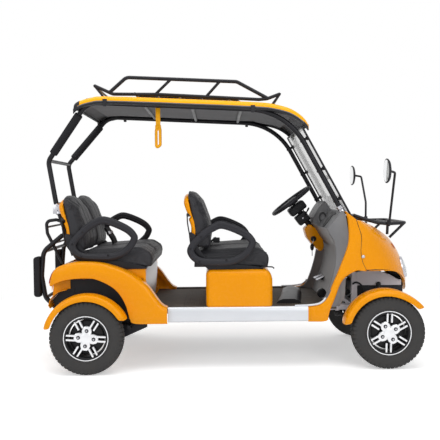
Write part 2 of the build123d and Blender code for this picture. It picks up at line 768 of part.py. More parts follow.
notch_z = (back_top - 47, back_top + 18)
back_notch = ((-60.0, notch_z[1]), (-60.0, notch_z[0]), (-300.0, notch_z[0]), (-300.0, notch_z[1]))
with BuildPart() as seat_backs:
    for outline, notch in ((back_side, back_notch), (reclined(back_side), reclined(back_notch))):
        side_plate(outline, -seat_half, seat_half)
        side_plate(notch, -28, 28, mode=Mode.SUBTRACT)
save(seat_backs, "seat_backs")

with BuildPart() as seat_shells:
    for outline in (shell_side, reclined(shell_side)):
        side_plate(outline, -seat_half, seat_half)
    for other in (seat_backs, canopy_frame):
        add(other.part, mode=Mode.SUBTRACT)
save(seat_shells, "seat_shells")

arm_bolts = ((-212.0, 762.0), (-30.0, 677.0), (54.0, 686.0))
plate_foot_z = front_seat_z - seat_frame_t + seat_gap
plate_foot = ((-200.0, plate_foot_z), (90.0, plate_foot_z))
plate_front = ((90.0, 704.0), (-120.0, 700.0))
plate_back = ((-172.0, 800.0), (-206.0, 980.0), (-230.0, 980.0), (-226.0, 756.0))
rear_plate_low = moved(plate_foot, seat_rows[1]) + moved(plate_front, arm_rows[1])
seat_plates = (
    plate_foot + plate_front + plate_back,
    rear_plate_low + [(-934.0, 800.0)] + reclined(plate_back[1:]),
)
with BuildPart() as armrests:
    for row in arm_rows:
        for side in (-1, 1):
            loop = [(x, side * arm_y, z) for x, z in moved(arm_loop, row)]
            with BuildLine(mode=Mode.PRIVATE) as path:
                FilletPolyline(*loop, radius=42, close=True)
            start = Plane(origin=path.line @ 0, x_dir=(0, 1, 0), z_dir=path.line % 0)
            with BuildSketch(start, mode=Mode.PRIVATE) as ring:
                Ellipse(arm_half_w, arm_half_h)
            sweep(sections=ring.sketch, path=path.line)
save(armrests, "armrests")

with BuildPart() as seat_frames:
    plate_y = seat_half + seat_gap
    for row, arm_row, outline in zip(seat_rows, arm_rows, seat_plates):
        frame_z = front_seat_z + row[1]
        pan_z = (frame_z - seat_frame_t + seat_gap, frame_z)
        block((-200 + row[0], 250 + row[0]), (-plate_y - 1, plate_y + 1), pan_z)
        for side in (-1, 1):
            plate_pair = sorted((side * plate_y, side * (plate_y + 6)))
            side_plate(outline, *plate_pair)
            for x, z in moved(arm_bolts, arm_row):
                rod((x, side * plate_y, z), (x, side * (arm_y - arm_half_w - seat_gap), z), 12)
    seats = (seat_cushions, seat_backs, seat_shells, armrests)
    for other in seats + (rear_seat_base, front_seat_box, rear_body):
        add(other.part, mode=Mode.SUBTRACT)
save(seat_frames, "seat_frames")

# ===== front body ==========================================================
cowl_side = (
    (768.0, 985.0),
    (829.0, 935.0),
    (861.0, 828.0),
    (857.0, 736.0),
    (869.0, 668.0),
    (896.0, 612.0),
    (839.0, 618.0),
    (766.0, 581.0),
    (715.0, 508.0),
    (664.0, 374.0),
    (638.0, 298.0),
    (524.0, 298.0),
    (524.0, 390.0),
    (600.0, 404.0),
    (642.0, 440.0),
    (677.0, 525.0),
    (750.0, 702.0),
    (781.0, 828.0),
    (750.0, 971.0),
)
seam_gap = 0.5
nose_side = (
    (925.0, 918.0),
    (1029.0, 872.0),
    (1117.0, 808.0),
    (1177.0, 730.0),
    (1218.0, 641.0),
    (1240.0, 560.0),
    (nose_tip_x, 428.0),
    (1216.0, 428.0),
    (1200.0, 520.0),
    (1125.0, 582.0),
    (1060.0, 606.0),
    (952.0, 603.0),
    (cowl_side[5][0] + seam_gap, cowl_side[5][1]),
    (cowl_side[4][0] + seam_gap, cowl_side[4][1]),
    (cowl_side[3][0] + seam_gap, cowl_side[3][1]),
    (cowl_side[2][0] + seam_gap, cowl_side[2][1]),
    (cowl_side[1][0] + seam_gap, cowl_side[1][1]),
)
lens_proud = 3.0
lamp_place = (1204.0, 190.0, 612.0)
lamp_r = 60.0


def plan_arc(inset, rear_x):
    """Adds the nose's plan outline, set in by a distance."""
    half = nose_half - inset
    back = Polyline((nose_round_x, half), (rear_x, half), (rear_x, -half), (nose_round_x, -half))
    ThreePointArc(back @ 1, (nose_tip_x - inset, 0), back @ 0)


with BuildPart() as head_lamps:
    with Locations(lamp_place):
        Sphere(lamp_r)
    with BuildSketch(Plane.XY, mode=Mode.PRIVATE) as lens_plan:
        with BuildLine():
            plan_arc(-lens_proud, 800)
        make_face()
        with BuildLine():
            plan_arc(panel_t, 780)
        make_face(mode=Mode.SUBTRACT)
    extrude(to_extrude=lens_plan.sketch, amount=1000, mode=Mode.INTERSECT)
    side_plate(nose_side, -nose_half, nose_half, mode=Mode.INTERSECT)
    mirror(about=Plane.XZ)
save(head_lamps, "head_lamps")

with BuildPart() as nose:
    side_plate(nose_side, -nose_half, nose_half)
    with BuildSketch(Plane.XY) as plan:
        with BuildLine():
            plan_arc(0, 800)
        make_face()
    extrude(amount=1000, mode=Mode.INTERSECT)
    with BuildSketch(Plane.XY) as inner_plan:
        with BuildLine():
            plan_arc(panel_t, 700)
        make_face()
    core = [(700.0, 917.0)] + [(x - 9, z - panel_t) for x, z in nose_side[1:6]]
    core += [(nose_tip_x - 22.0, 560.0), (nose_tip_x - 22.0, 300.0), (700.0, 300.0)]
    with BuildSketch(Plane.XZ.offset(-600), mode=Mode.PRIVATE) as core_face:
        with BuildLine():
            Polyline(*core, close=True)
        make_face()
    core_part = extrude(to_extrude=core_face.sketch, amount=1200, mode=Mode.PRIVATE)
    plan_part = extrude(to_extrude=inner_plan.sketch, amount=1000, mode=Mode.PRIVATE)
    add(core_part & plan_part, mode=Mode.SUBTRACT)
    add(front_subframe.part, mode=Mode.SUBTRACT)
    add(head_lamps.part, mode=Mode.SUBTRACT)
save(nose, "nose")

dash_side = (
    (612.0, floor_top),
    (664.0, 520.0),
    (696.0, 640.0),
    (704.0, 720.0),
    (690.0, 800.0),
    (652.0, 868.0),
    (630.0, 893.0),
    (636.0, 942.0),
    (677.0, 1011.0),
    (704.0, 1042.0),
    (716.0, 1050.0),
    (752.0, 985.0),
    (768.0, 960.0),
    (790.0, 828.0),
    (776.0, 702.0),
    (766.0, 560.0),
    (760.0, 450.0),
    (726.0, floor_top),
)
dash_half = cowl_half - panel_t - seat_gap
dash_t = 16.0
dash_hollow = (
    (650.0, 300.0),
    (634.0, floor_top - 1),
    (684.0, 516.0),
    (716.0, 638.0),
    (722.0, 722.0),
    (707.0, 808.0),
    (666.0, 880.0),
    (650.0, 900.0),
    (655.0, 938.0),
    (692.0, 1000.0),
    (712.0, 1032.0),
    (744.0, 966.0),
    (800.0, 900.0),
    (830.0, 828.0),
    (810.0, 690.0),
    (800.0, 300.0),
)
jacket_r = 20.0
hood_half = 165.0
with BuildPart() as dash:
    side_plate(dash_side, -dash_half, dash_half)
    side_plate(dash_hollow, -dash_half + dash_t, dash_half - dash_t, mode=Mode.SUBTRACT)
    hood_cut = ((560, 1120), (560, 1003), (650, 1003), (768, 985), (790, 1120))
    side_plate(hood_cut, -dash_half - 1, driver_y - hood_half, mode=Mode.SUBTRACT)
    side_plate(hood_cut, driver_y + hood_half, dash_half + 1, mode=Mode.SUBTRACT)
    for other in (canopy_frame, windscreen, floor_pan, chassis_rails, cross_members):
        add(other.part, mode=Mode.SUBTRACT)
    jacket_face = Plane(origin=down_column(jacket_start), z_dir=-column_axis)
    with BuildSketch(jacket_face, mode=Mode.PRIVATE) as disc:
        Circle(jacket_r)
    extrude(to_extrude=disc.sketch, amount=jacket_end + 80, mode=Mode.SUBTRACT)
save(dash, "dash_panel")

with BuildPart() as cowl:
    for side in (-1, 1):
        y_low, y_high = sorted((side * (cowl_half - panel_t), side * cowl_half))
        side_plate(cowl_side, y_low, y_high)
    for other in (sills, nose, canopy_frame, windscreen, floor_pan):
        add(other.part, mode=Mode.SUBTRACT)
save(cowl, "cowl_sides")

# ===== steering column, controls ===========================================
with BuildPart() as steering_column:
    jacket_plane = Plane(origin=down_column(jacket_start), z_dir=-column_axis)
    with BuildSketch(jacket_plane):
        Circle(jacket_r)
    extrude(amount=jacket_end + 80 - jacket_start)
    with BuildSketch(jacket_plane.offset(2)):
        Rectangle(128, 120)
    extrude(amount=58)
    with BuildSketch(jacket_plane.offset(68)):
        Rectangle(76, 96)
    extrude(amount=76)
    with BuildSketch(jacket_plane):
        Circle(shaft_r + fit_gap)
    extrude(amount=400, mode=Mode.SUBTRACT)
    add(dash.part, mode=Mode.SUBTRACT)
save(steering_column, "steering_column")

cover_side = (
    (620.0, 886.0),
    (680.0, 838.0),
    (712.0, 780.0),
    (720.0, 722.0),
    (702.0, 676.0),
    (640.0, 732.0),
    (598.0, 786.0),
    (580.0, 852.0),
)
cover_half = 62.0
with BuildPart() as column_cover:
    side_plate(cover_side, driver_y - cover_half, driver_y + cover_half)
    for other in (dash, steering_column):
        add(other.part, mode=Mode.SUBTRACT)
    with BuildSketch(jacket_plane):
        Circle(shaft_r + 6)
    extrude(amount=400, mode=Mode.SUBTRACT)
save(column_cover, "column_cover")

pedal_y = (130.0, 235.0)
with BuildPart() as pedals:
    for y in pedal_y:
        bent_tube([(684, y, 557), (640, y, 520), (612, y, 470), (600, y, 440)], 20, 7)
        side_plate(((640, 556), (664, 498), (656, 494), (632, 552)), y - 34, y + 34)
    block((400, 560), (90, 300), (floor_top, floor_top + 26))
    for other in (dash, floor_pan):
        add(other.part, mode=Mode.SUBTRACT)
save(pedals, "pedals")

# ===== front rack and mirrors ==============================================
rack_front_y = 308.0
mirror_head = (997.0, 516.0, 1240.0)
mirror_root = (1064.0, 330.0, 910.0)
mirror_r = 76.0
stalk_r = 6.0
stalk_bends = (80.0, 20.0)
front_rack_tube = 11.0
with BuildPart() as front_rack:
    near_rail = [(838, 962), (905, 938), (990, 912), (1064, 903)]
    loop = [(x, -rack_front_y, z) for x, z in near_rail]
    loop += [(1194, -rack_front_y + 50, 907), (1194, rack_front_y - 50, 907)]
    loop += [(x, rack_front_y, z) for x, z in reversed(near_rail)]
    bent_tube(loop, [40] + [60] * 7, front_rack_tube)
    for side in (-1, 1):
        rod((1061, side * rack_front_y, 903), (1061, side * (rack_front_y - 12), 843), 8)
        rod((1182, side * (rack_front_y - 46), 906), (1085, side * (rack_front_y - 46), 815), 8)
    for x, reach in ((1032, 306), (1080, 300), (1128, 282)):
        rod((x, -reach, 903), (x, reach, 903), 7)
    for other in (nose, cowl, canopy_frame, windscreen, dash):
        add(other.part, mode=Mode.SUBTRACT)
save(front_rack, "front_rack")

with BuildPart() as mirrors:
    for side in (-1, 1):
        root = (mirror_root[0], side * mirror_root[1], mirror_root[2] - 20)
        knee = (mirror_head[0] + 66, side * (mirror_head[1] - 40), mirror_head[2] - 10)
        tip = (mirror_head[0] + 22, side * mirror_head[1], mirror_head[2])
        shoulder = (root[0] + 8, root[1] + side * 30, mirror_root[2] + 124)
        bent_tube([root, shoulder, knee, tip], stalk_bends, stalk_r)
        head = (mirror_head[0], side * mirror_head[1], mirror_head[2])
        with BuildSketch(Plane(origin=head, z_dir=(1, 0, 0))):
            Circle(mirror_r)
        extrude(amount=24, taper=30)
        with Locations((mirror_root[0], side * (mirror_root[1] - 4), mirror_root[2] + 2)):
            Box(26, 30, 34)
    add(front_rack.part, mode=Mode.SUBTRACT)
save(mirrors, "mirrors")

# ===== rear bumper and carrier =============================================
bumper_y = 280.0
bumper_run = [
    (-1060, bumper_y, 846),
    (-1186, bumper_y, 742),
    (-1200, bumper_y, 580),
    (-1178, bumper_y, 440),
    (-1090, bumper_y, 350),
]
bumper_r = 13.0
with BuildPart() as rear_bumper:
    for side in (-1, 1):
        bent_tube([(x, side * y, z) for x, y, z in bumper_run], [40, 100, 60], bumper_r)
        rod((-1060, side * bumper_y, 846), (-1042, side * bumper_y, 872), 10)
        rod((-1098, side * bumper_y, 350), (-1060, side * (rail_y + 6), 545), 10)
    for x, y, z in (bumper_run[1], bumper_run[3]):
        rod((x + 3, -y, z - 2), (x + 3, y, z - 2), bumper_r - 2)
    for other in (canopy_frame, chassis_rails, cross_members, tail_panel, rear_body):
        add(other.part, mode=Mode.SUBTRACT)
save(rear_bumper, "rear_bumper")

with BuildPart() as bumper_pads:
    for side in (-1, 1):
        block((-1246, -1206), sorted((side * (bumper_y - 32), side * (bumper_y + 32))), (446, 708))
    fillet(edges().filter_by(Axis.Z), 9)
    add(rear_bumper.part, mode=Mode.SUBTRACT)
save(bumper_pads, "bumper_pads")

carrier_y = 264.0
carrier_r = 8.0
carrier_run = (
    (-1050.0, 930.0),
    (-1100.0, 948.0),
    (-1168.0, 940.0),
    (-1162.0, 860.0),
    (-1100.0, 700.0),
    (-1080.0, 672.0),
)
carrier_bars = ((-1164.0, 900.0), (-1134.0, 790.0), (-1080.0, 944.0))
with BuildPart() as rear_carrier:
    for side in (-1, 1):
        y = side * carrier_y
        bent_tube([(x, y, z) for x, z in carrier_run], 30, carrier_r)
    for x, z in carrier_bars:
        rod((x, -carrier_y, z), (x, carrier_y, z), carrier_r - 1)
    for other in (canopy_frame, rear_body, rear_bumper):
        add(other.part, mode=Mode.SUBTRACT)
save(rear_carrier, "rear_carrier")

# ===== clamps, lamps =======================================================
clamp_t = 5.0
with BuildPart() as tube_clamps:
    for side in (-1, 1):
        low = Vector(-1078, side * (hoop_y + 2), 990)
        high = Vector(-1096, side * hoop_y, 1050)
        rod(low, high, frame_r + clamp_t)
        foot = Vector(pillar_x(996), side * roof_frame_y, 996)
        rod(foot, foot - pillar_dir * 60, frame_r + clamp_t)
    for other in (canopy_frame, cowl, dash, windscreen):
        add(other.part, mode=Mode.SUBTRACT)
save(tube_clamps, "tube_clamps")
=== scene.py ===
# %% [markdown]
# # A small electric golf cart
# The cart is already built as a fixed frame of solid pieces, each at its real
# place. Here each piece gets its looks: smooth body panels, padded seats, tyre
# treads, spokes, bolts and finishes. The frame is loaded first, and everything
# else is measured from it, in metres, with +X forward and +Z up.

# %% Load the frame
import json
from math import cos, degrees, pi, radians, sin, sqrt, tan, tau

import bmesh
import bpy
import numpy as np
from mathutils import Matrix, Vector
from mathutils.bvhtree import BVHTree


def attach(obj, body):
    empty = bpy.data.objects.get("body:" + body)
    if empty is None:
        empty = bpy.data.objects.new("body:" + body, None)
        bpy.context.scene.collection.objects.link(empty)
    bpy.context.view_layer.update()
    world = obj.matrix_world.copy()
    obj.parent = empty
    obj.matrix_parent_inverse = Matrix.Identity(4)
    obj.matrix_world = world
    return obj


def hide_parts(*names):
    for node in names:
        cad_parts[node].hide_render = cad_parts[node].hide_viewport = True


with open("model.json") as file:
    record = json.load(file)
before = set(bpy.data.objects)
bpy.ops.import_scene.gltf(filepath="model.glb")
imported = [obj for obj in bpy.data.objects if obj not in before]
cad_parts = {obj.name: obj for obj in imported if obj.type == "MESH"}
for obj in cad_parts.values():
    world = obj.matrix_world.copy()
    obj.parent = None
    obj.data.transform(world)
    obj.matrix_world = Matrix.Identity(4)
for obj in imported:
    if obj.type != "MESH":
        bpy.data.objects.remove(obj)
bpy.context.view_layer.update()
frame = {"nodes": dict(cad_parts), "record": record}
nodes = frame["nodes"]
MM = 0.001


def at(*place):
    """A place or a direction, from its coordinates."""
    return Vector(place)


def linked(name, data):
    """A new object that holds some data, linked into the scene."""
    made = bpy.data.objects.new(name, data)
    bpy.context.collection.objects.link(made)
    return made


def as_mesh(shape, name):
    """A bmesh turned into a mesh; the bmesh is used up."""
    mesh = bpy.data.meshes.new(name)
    shape.to_mesh(mesh)
    shape.free()
    return mesh


# %% [markdown]
# The camera stands level with the riders' chests, well out to the right of the
# cart, and tips down a little. A pale floor and a pale world keep the studio
# plain. The floor is white to the camera and to reflections, yet takes a shadow.

# %% Camera
camera_place = at(-0.040, -4.500, 1.111)
camera_yaw, camera_pitch, camera_roll = (radians(a) for a in (0.158, 2.363, -0.533))
camera_lens = 52.85


def camera_turn():
    """The camera's turn, from its yaw, pitch and roll."""
    ahead = at(
        sin(camera_yaw) * cos(camera_pitch),
        cos(camera_yaw) * cos(camera_pitch),
        -sin(camera_pitch),
    )
    right = at(cos(camera_yaw), -sin(camera_yaw), 0)
    up = right.cross(ahead)
    tilted_right = cos(camera_roll) * right + sin(camera_roll) * up
    tilted_up = tilted_right.cross(ahead)
    return Matrix((tilted_right, tilted_up, -ahead)).transposed()


camera_data = bpy.data.cameras.new("camera")
camera_data.lens = camera_lens
camera_data.sensor_width = 36
camera_data.clip_end = 200
camera = linked("camera", camera_data)
camera.matrix_world = Matrix.Translation(camera_place) @ camera_turn().to_4x4()
bpy.context.scene.camera = camera
bpy.context.scene.view_settings.view_transform = "Standard"

# %% [markdown]
# A finish is a small network of shader nodes. Writing it as sums reads better
# than wiring boxes, so a socket is wrapped in a class that knows how to add,
# subtract, multiply and compare. One method makes every other kind of node.

# %% Shader helpers
class Value:
    """A number that varies over a surface; sums on it add Math nodes."""

    def __init__(self, network, socket):
        self.network = network
        self.socket = socket

    def maths(self, operation, *others, **extra):
        return self.network.node(
            "ShaderNodeMath", {"operation": operation, **extra}, dict(enumerate((self, *others)))
        )

    def __add__(self, other):
        return self.maths("ADD", other)

    __radd__ = __add__

    def __sub__(self, other):
        return self.maths("SUBTRACT", other)

    def __rsub__(self, other):
        return self.network.node("ShaderNodeMath", {"operation": "SUBTRACT"}, {0: other, 1: self})

    def __mul__(self, other):
        return self.maths("MULTIPLY", other)

    __rmul__ = __mul__

    def __gt__(self, other):
        return self.maths("GREATER_THAN", other)

    def __lt__(self, other):
        return self.maths("LESS_THAN", other)

    def clamped(self):
        return self.maths("ADD", 0.0, use_clamp=True)


class Network:
    """A tree of shader nodes."""

    def __init__(self, tree):
        self.tree = tree

    def node(self, kind, settings=None, inputs=None, out=0):
        """Adds a node: its settings first, then the values or links of its sockets."""
        made = self.tree.nodes.new(kind)
        for key, value in (settings or {}).items():
            if key == "stops":
                for stop, (place, colour) in zip(made.color_ramp.elements, value):
                    stop.position, stop.color = place, (*colour, 1)
            else:
                setattr(made, key, value)
        for key, value in (inputs or {}).items():
            self.feed(made.inputs[key], value)
        return Value(self, made.outputs[out])

    def feed(self, socket, value):
        """Links a value to a socket, or sets it there."""
        if isinstance(value, Value):
            self.tree.links.new(value.socket, socket)
        elif socket.type == "RGBA":
            socket.default_value = (*value[:3], 1)
        else:
            socket.default_value = value


class Finish(Network):
    """A material made of nodes, with its own Principled shader."""

    def __init__(self, name):
        self.material = bpy.data.materials.new(name)
        self.material.use_nodes = True
        super().__init__(self.material.node_tree)
        self.shader = self.tree.nodes["Principled BSDF"]
        self.place = self.node("ShaderNodeTexCoord", out="Object")

    def set(self, **sockets):
        """Sets or links the shader's sockets, named with _ for a space."""
        for key, value in sockets.items():
            self.feed(self.shader.inputs[key.replace("_", " ")], value)
        return self

    def noise(self, scale, detail=3.0, stretch=(1, 1, 1)):
        """Soft random mottling, 0 to 1, in the object's own metres."""
        spread = self.node("ShaderNodeMapping", None, {"Vector": self.place, "Scale": stretch})
        return self.node("ShaderNodeTexNoise", None, {"Vector": spread, "Scale": scale, "Detail": detail})

    def mix(self, share, first, second):
        """A colour between two, by a share."""
        return self.node(
            "ShaderNodeMix", {"data_type": "RGBA"}, {0: share, 6: first, 7: second}, out=2
        )

    def bump(self, height, depth):
        """A normal from a height in metres."""
        return self.node("ShaderNodeBump", None, {"Height": height, "Distance": depth, "Strength": 1.0})

    def part(self, axis):
        """One coordinate of the object's place."""
        return self.node("ShaderNodeSeparateXYZ", None, {0: self.place}, out="XYZ".index(axis))


def srgb(red, green, blue):
    """A colour given as 0-255 screen values, in the linear values shaders use."""
    return tuple(
        c / 12.92 if c <= 0.04045 else ((c + 0.055) / 1.055) ** 2.4
        for c in (red / 255, green / 255, blue / 255)
    )

# %% [markdown]
# The body panels are moulded plastic with a deep gloss. Real gloss is never
# perfectly even: the colour drifts by a few percent over a panel, the shine
# changes where hands and rags have been, and the surface has a faint ripple
# called orange peel. Each of these is one noise, at its own scale.

# %% Body colours
def gloss_panel(name, colour, shade):
    """Glossy moulded plastic with a clear coat and a faint ripple."""
    finish = Finish(name)
    drift = finish.noise(3.2, 2)
    scuff = finish.noise(38, 4)
    ripple = finish.noise(420, 1)
    finish.set(
        Base_Color=finish.mix(drift, colour, shade),
        Roughness=0.20 + scuff * 0.14,
        Coat_Weight=0.06 + drift * 0.06,
        Coat_Roughness=0.06,
        Specular_IOR_Level=0.14,
        Normal=finish.bump(ripple, 0.00006),
    )
    return finish.material


body_orange = gloss_panel("body_orange", srgb(240, 155, 0), srgb(234, 147, 0))
roof_yellow = gloss_panel("roof_yellow", srgb(250, 178, 10), srgb(244, 168, 4))
print("panels", body_orange.name, "and", roof_yellow.name)

# %% [markdown]
# Tubes are steel with a black powder coat: satin, slightly pebbled, with paler
# rubbed patches. Moulded trim is the same idea with a coarser texture. One
# function makes them all, because only the numbers differ.

# %% Satin paints and plastics
def satin(name, colour, worn, rough, pebble, depth, metal=0.0, patch=7.0):
    """A satin surface: pebbled, a little mottled, with paler worn patches; colours are screen values."""
    finish = Finish(name)
    wear = finish.node(
        "ShaderNodeValToRGB", {"stops": ((0.42, (0, 0, 0)), (0.80, (1, 1, 1)))}, {0: finish.noise(patch, 6)}
    )
    grain = finish.noise(pebble, 2)
    finish.set(
        Base_Color=finish.mix(wear, srgb(*colour), srgb(*worn)),
        Roughness=rough + wear * 0.10,
        Metallic=metal,
        Specular_IOR_Level=0.22,
        Normal=finish.bump(grain, depth),
    )
    return finish.material


frame_black = satin("frame_black", (24, 24, 28), (38, 37, 42), 0.34, 900, 0.00008)
trim_black = satin("trim_black", (31, 31, 34), (46, 46, 50), 0.48, 1200, 0.00012)
dash_grey = satin("dash_grey", (112, 112, 114), (126, 126, 127), 0.42, 1100, 0.0001)
liner_grey = satin("liner_grey", (108, 108, 110), (122, 122, 124), 0.75, 700, 0.0002)
floor_brown = satin("floor_brown", (78, 72, 66), (100, 93, 86), 0.70, 500, 0.0003, patch=14)
subframe_grey = satin("subframe_grey", (196, 190, 194), (210, 204, 208), 0.40, 800, 0.00006, metal=0.15)
axle_black = satin("axle_black", (40, 40, 42), (66, 64, 62), 0.50, 300, 0.0002, metal=0.2)
foam_black = satin("foam_black", (33, 33, 36), (44, 44, 47), 0.85, 650, 0.0004)
battery_grey = satin("battery_grey", (58, 60, 64), (70, 72, 76), 0.55, 600, 0.0001)
strap_yellow = satin("strap_yellow", (247, 176, 20), (238, 160, 10), 0.38, 900, 0.0001)
pocket_black = satin("pocket_black", (24, 24, 26), (34, 34, 36), 0.38, 700, 0.00006)

# %% [markdown]
# Bare metals mirror the studio, so their colour matters less than how sharp the
# reflection is. Extruded sills have fine lines along their length: a noise
# squashed in X draws them. The machined rims and the mirror glass are made alike.

# %% Metals, mirror and clear plastics
def drifting(name, colour, shade, mottle, rough, spread, lines=None, depth=0.0, stretch=(1, 1, 1), **sockets):
    """A surface whose colour and roughness drift together, under a fine relief."""
    finish = Finish(name)
    drift = finish.noise(*mottle)
    if lines:
        sockets["Normal"] = finish.bump(finish.noise(lines, 2, stretch), depth)
    finish.set(Base_Color=finish.mix(drift, colour, shade), Roughness=rough + drift * spread, **sockets)
    return finish.material


steel, dull_steel = (0.50, 0.50, 0.53), (0.45, 0.45, 0.477)
clamp_silver = drifting("clamp_silver", steel, dull_steel, (9, 4), 0.24, 0.12, 500, 0.00003, Metallic=1.0)
bolt_steel = drifting("bolt_steel", steel, dull_steel, (9, 4), 0.22, 0.12, 700, 0.00003, Metallic=1.0)
sill_silver = drifting(
    "sill_silver", srgb(214, 217, 222), srgb(204, 207, 212), (6, 3), 0.30, 0.10, 900, 0.00004, (0.02, 1, 1),
    Metallic=0.35,
)
rim_alloy = drifting(
    "rim_alloy", srgb(222, 223, 226), srgb(238, 239, 241), (12, 4), 0.26, 0.12, 600, 0.00003, Metallic=0.55,
)
mirror_glass = drifting(
    "mirror_glass", (0.88, 0.89, 0.90), (0.80, 0.81, 0.82), (24, 5), 0.02, 0.05, Metallic=1.0
)


def clear(name, colour, alpha, rough):
    """Clear sheet: mostly see-through, with a smeary shine."""
    finish = Finish(name)
    smear = finish.noise(5, 3)
    finish.set(
        Base_Color=finish.mix(smear, colour, tuple(c * 0.96 for c in colour)),
        Roughness=rough + smear * 0.05,
        Alpha=alpha + smear * 0.04,
        Coat_Weight=0.6,
    )
    return finish.material


screen_clear = clear("screen_clear", srgb(156, 158, 152), 0.42, 0.03)
lens_clear = clear("lens_clear", srgb(240, 243, 245), 0.30, 0.04)


def lens_finish(name, colour, shade):
    """Coloured lamp plastic with moulded ribs."""
    finish = Finish(name)
    ribs = (finish.part("Z") * 900).maths("SINE")
    finish.set(
        Base_Color=finish.mix(finish.noise(40, 2), colour, shade),
        Roughness=0.22 + finish.noise(60, 2) * 0.08,
        Specular_IOR_Level=0.25,
        Normal=finish.bump(ribs, 0.0002),
    )
    return finish.material


lens_red = lens_finish("lens_red", srgb(176, 16, 14), srgb(140, 10, 10))
lens_amber = lens_finish("lens_amber", srgb(196, 92, 8), srgb(176, 78, 6))

# %% [markdown]
# Seat vinyl is a pressed leather grain: small rounded cells, which a Voronoi
# distance gives, over soft creases. Tyre rubber is matt, mottled with dust
# and paler where it has been handled.

# %% Vinyl, rubber and webbing
def vinyl_finish(name, colour, worn, cell, depth):
    """Grained vinyl with creases and shinier worn patches."""
    finish = Finish(name)
    cells = finish.node(
        "ShaderNodeTexVoronoi", {"feature": "DISTANCE_TO_EDGE"}, {"Vector": finish.place, "Scale": cell}
    )
    crease = finish.noise(26, 5)
    patch = finish.noise(5, 3)
    grain = (cells * 3).clamped() * depth + crease * 0.0012
    finish.set(
        Base_Color=finish.mix(patch, colour, worn),
        Roughness=0.44 + patch * 0.16 - crease * 0.06,
        Normal=finish.bump(grain, 1.0),
        Specular_IOR_Level=0.30,
    )
    return finish.material


seat_vinyl = vinyl_finish("seat_vinyl", srgb(32, 32, 36), srgb(46, 46, 50), 420, 0.0005)
grip_vinyl = vinyl_finish("grip_vinyl", srgb(27, 27, 32), srgb(38, 38, 44), 700, 0.0002)


tyre_black = drifting("tyre_black", srgb(34, 34, 36), srgb(58, 56, 54), (16, 6), 0.70, 0.18, 500, 0.0002)


def webbing_finish():
    """Black woven belt: fine ribs across a diagonal."""
    finish = Finish("belt_black")
    ribs = ((finish.part("X") + finish.part("Z")) * 2600).maths("SINE")
    finish.set(
        Base_Color=finish.mix(finish.noise(60, 3), srgb(26, 26, 28), srgb(40, 40, 43)),
        Roughness=0.72 + finish.noise(90, 2) * 0.1,
        Normal=finish.bump(ribs, 0.0002),
    )
    return finish.material


belt_black = webbing_finish()
print("finishes", len(bpy.data.materials))

# %% [markdown]
# Every piece ends the same way: its mesh keeps its place, sharp edges are marked
# by angle, it gets its finish, and it rides on a body of the frame. So one
# helper does all of that, and the pieces below only have to make their shape.

# %% Finishing a piece
def bake(thing):
    """Applies an object's modifiers to its mesh."""
    ready = thing.evaluated_get(bpy.context.evaluated_depsgraph_get())
    thing.data = bpy.data.meshes.new_from_object(ready)
    thing.modifiers.clear()


def body_holding(node):
    """The body that a frame node belongs to."""
    return next(b for b, names in frame["record"]["behaviour"]["bodies"].items() if node in names)


def skin_wall(thickness, offset=-1.0, inside=0, rim=0):
    """A thickness for a thin skin, with the place of its inner finish in the list."""
    return {"thickness": thickness, "offset": offset, "material_offset": inside, "material_offset_rim": rim}


def dress(name, shape, finish, body="chassis", node=None, sharp=40, wall=None):
    """Turns a bmesh or mesh into a piece that rides on a body, with its finishes in order."""
    mesh = as_mesh(shape, name) if isinstance(shape, bmesh.types.BMesh) else shape
    piece = linked(name, mesh)
    mesh.materials.clear()
    finishes = finish if isinstance(finish, list) else [finish]
    for one in finishes:
        mesh.materials.append(one)
    if wall:
        modifier = piece.modifiers.new("wall", "SOLIDIFY")
        for key, value in wall.items():
            setattr(modifier, key, value)
        bake(piece)
    piece.data.set_sharp_from_angle(angle=radians(sharp))
    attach(piece, body)
    if node:
        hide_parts(node)
    return piece


# %% [markdown]
# Most of a cart is tube, plate and moulded skin. A tube is a ring of points
# carried along a path whose corners are rounded to the bend of the pipe bender.
# A plate is an outline with a thickness. A skin is a grid of points.

# %% Tubes, plates and skins
def rounded(points, bend, steps=6, closed=False):
    """A path with its corners rounded to a bend radius."""
    points = [Vector(p) for p in points]
    count = len(points)
    bends = bend if isinstance(bend, (list, tuple)) else [bend] * count
    path = []
    for i, corner in enumerate(points):
        if not closed and i in (0, count - 1):
            path.append(corner)
            continue
        back = points[i - 1] - corner
        on = points[(i + 1) % count] - corner
        half = back.angle(on) / 2
        reach = min(bends[i % len(bends)] / tan(half), 0.49 * back.length, 0.49 * on.length)
        radius = reach * tan(half)
        middle = corner + (back.normalized() + on.normalized()).normalized() * (radius / sin(half))
        first = corner + back.normalized() * reach - middle
        last = corner + on.normalized() * reach - middle
        turn = first.angle(last)
        if turn < 1e-4:
            path.append(corner)
            continue
        for step in range(steps + 1):
            share = step / steps
            blend = (first * sin((1 - share) * turn) + last * sin(share * turn)) / sin(turn)
            path.append(middle + blend)
    return path


def add_grid(shape, rows, wrap_rows=False, wrap_columns=False):
    """Adds faces over rows of points; returns the rows of its corners."""
    verts = [[shape.verts.new(p) for p in row] for row in rows]
    for i in range(len(verts) - (0 if wrap_rows else 1)):
        here, after = verts[i], verts[(i + 1) % len(verts)]
        for j in range(len(here) - (0 if wrap_columns else 1)):
            k = (j + 1) % len(here)
            shape.faces.new((here[j], here[k], after[k], after[j]))
    return verts


def add_capped(shape, rows):
    """Adds a run of closed rings with a face over each end."""
    verts = add_grid(shape, rows, wrap_columns=True)
    shape.faces.new(verts[0])
    shape.faces.new(reversed(verts[-1]))


def faced_out(shape):
    """Turns the faces of closed shapes outwards."""
    bmesh.ops.recalc_face_normals(shape, faces=shape.faces)
    return shape


def full_turn(count):
    """Angles spread evenly over a full turn."""
    return [tau * k / count for k in range(count)]


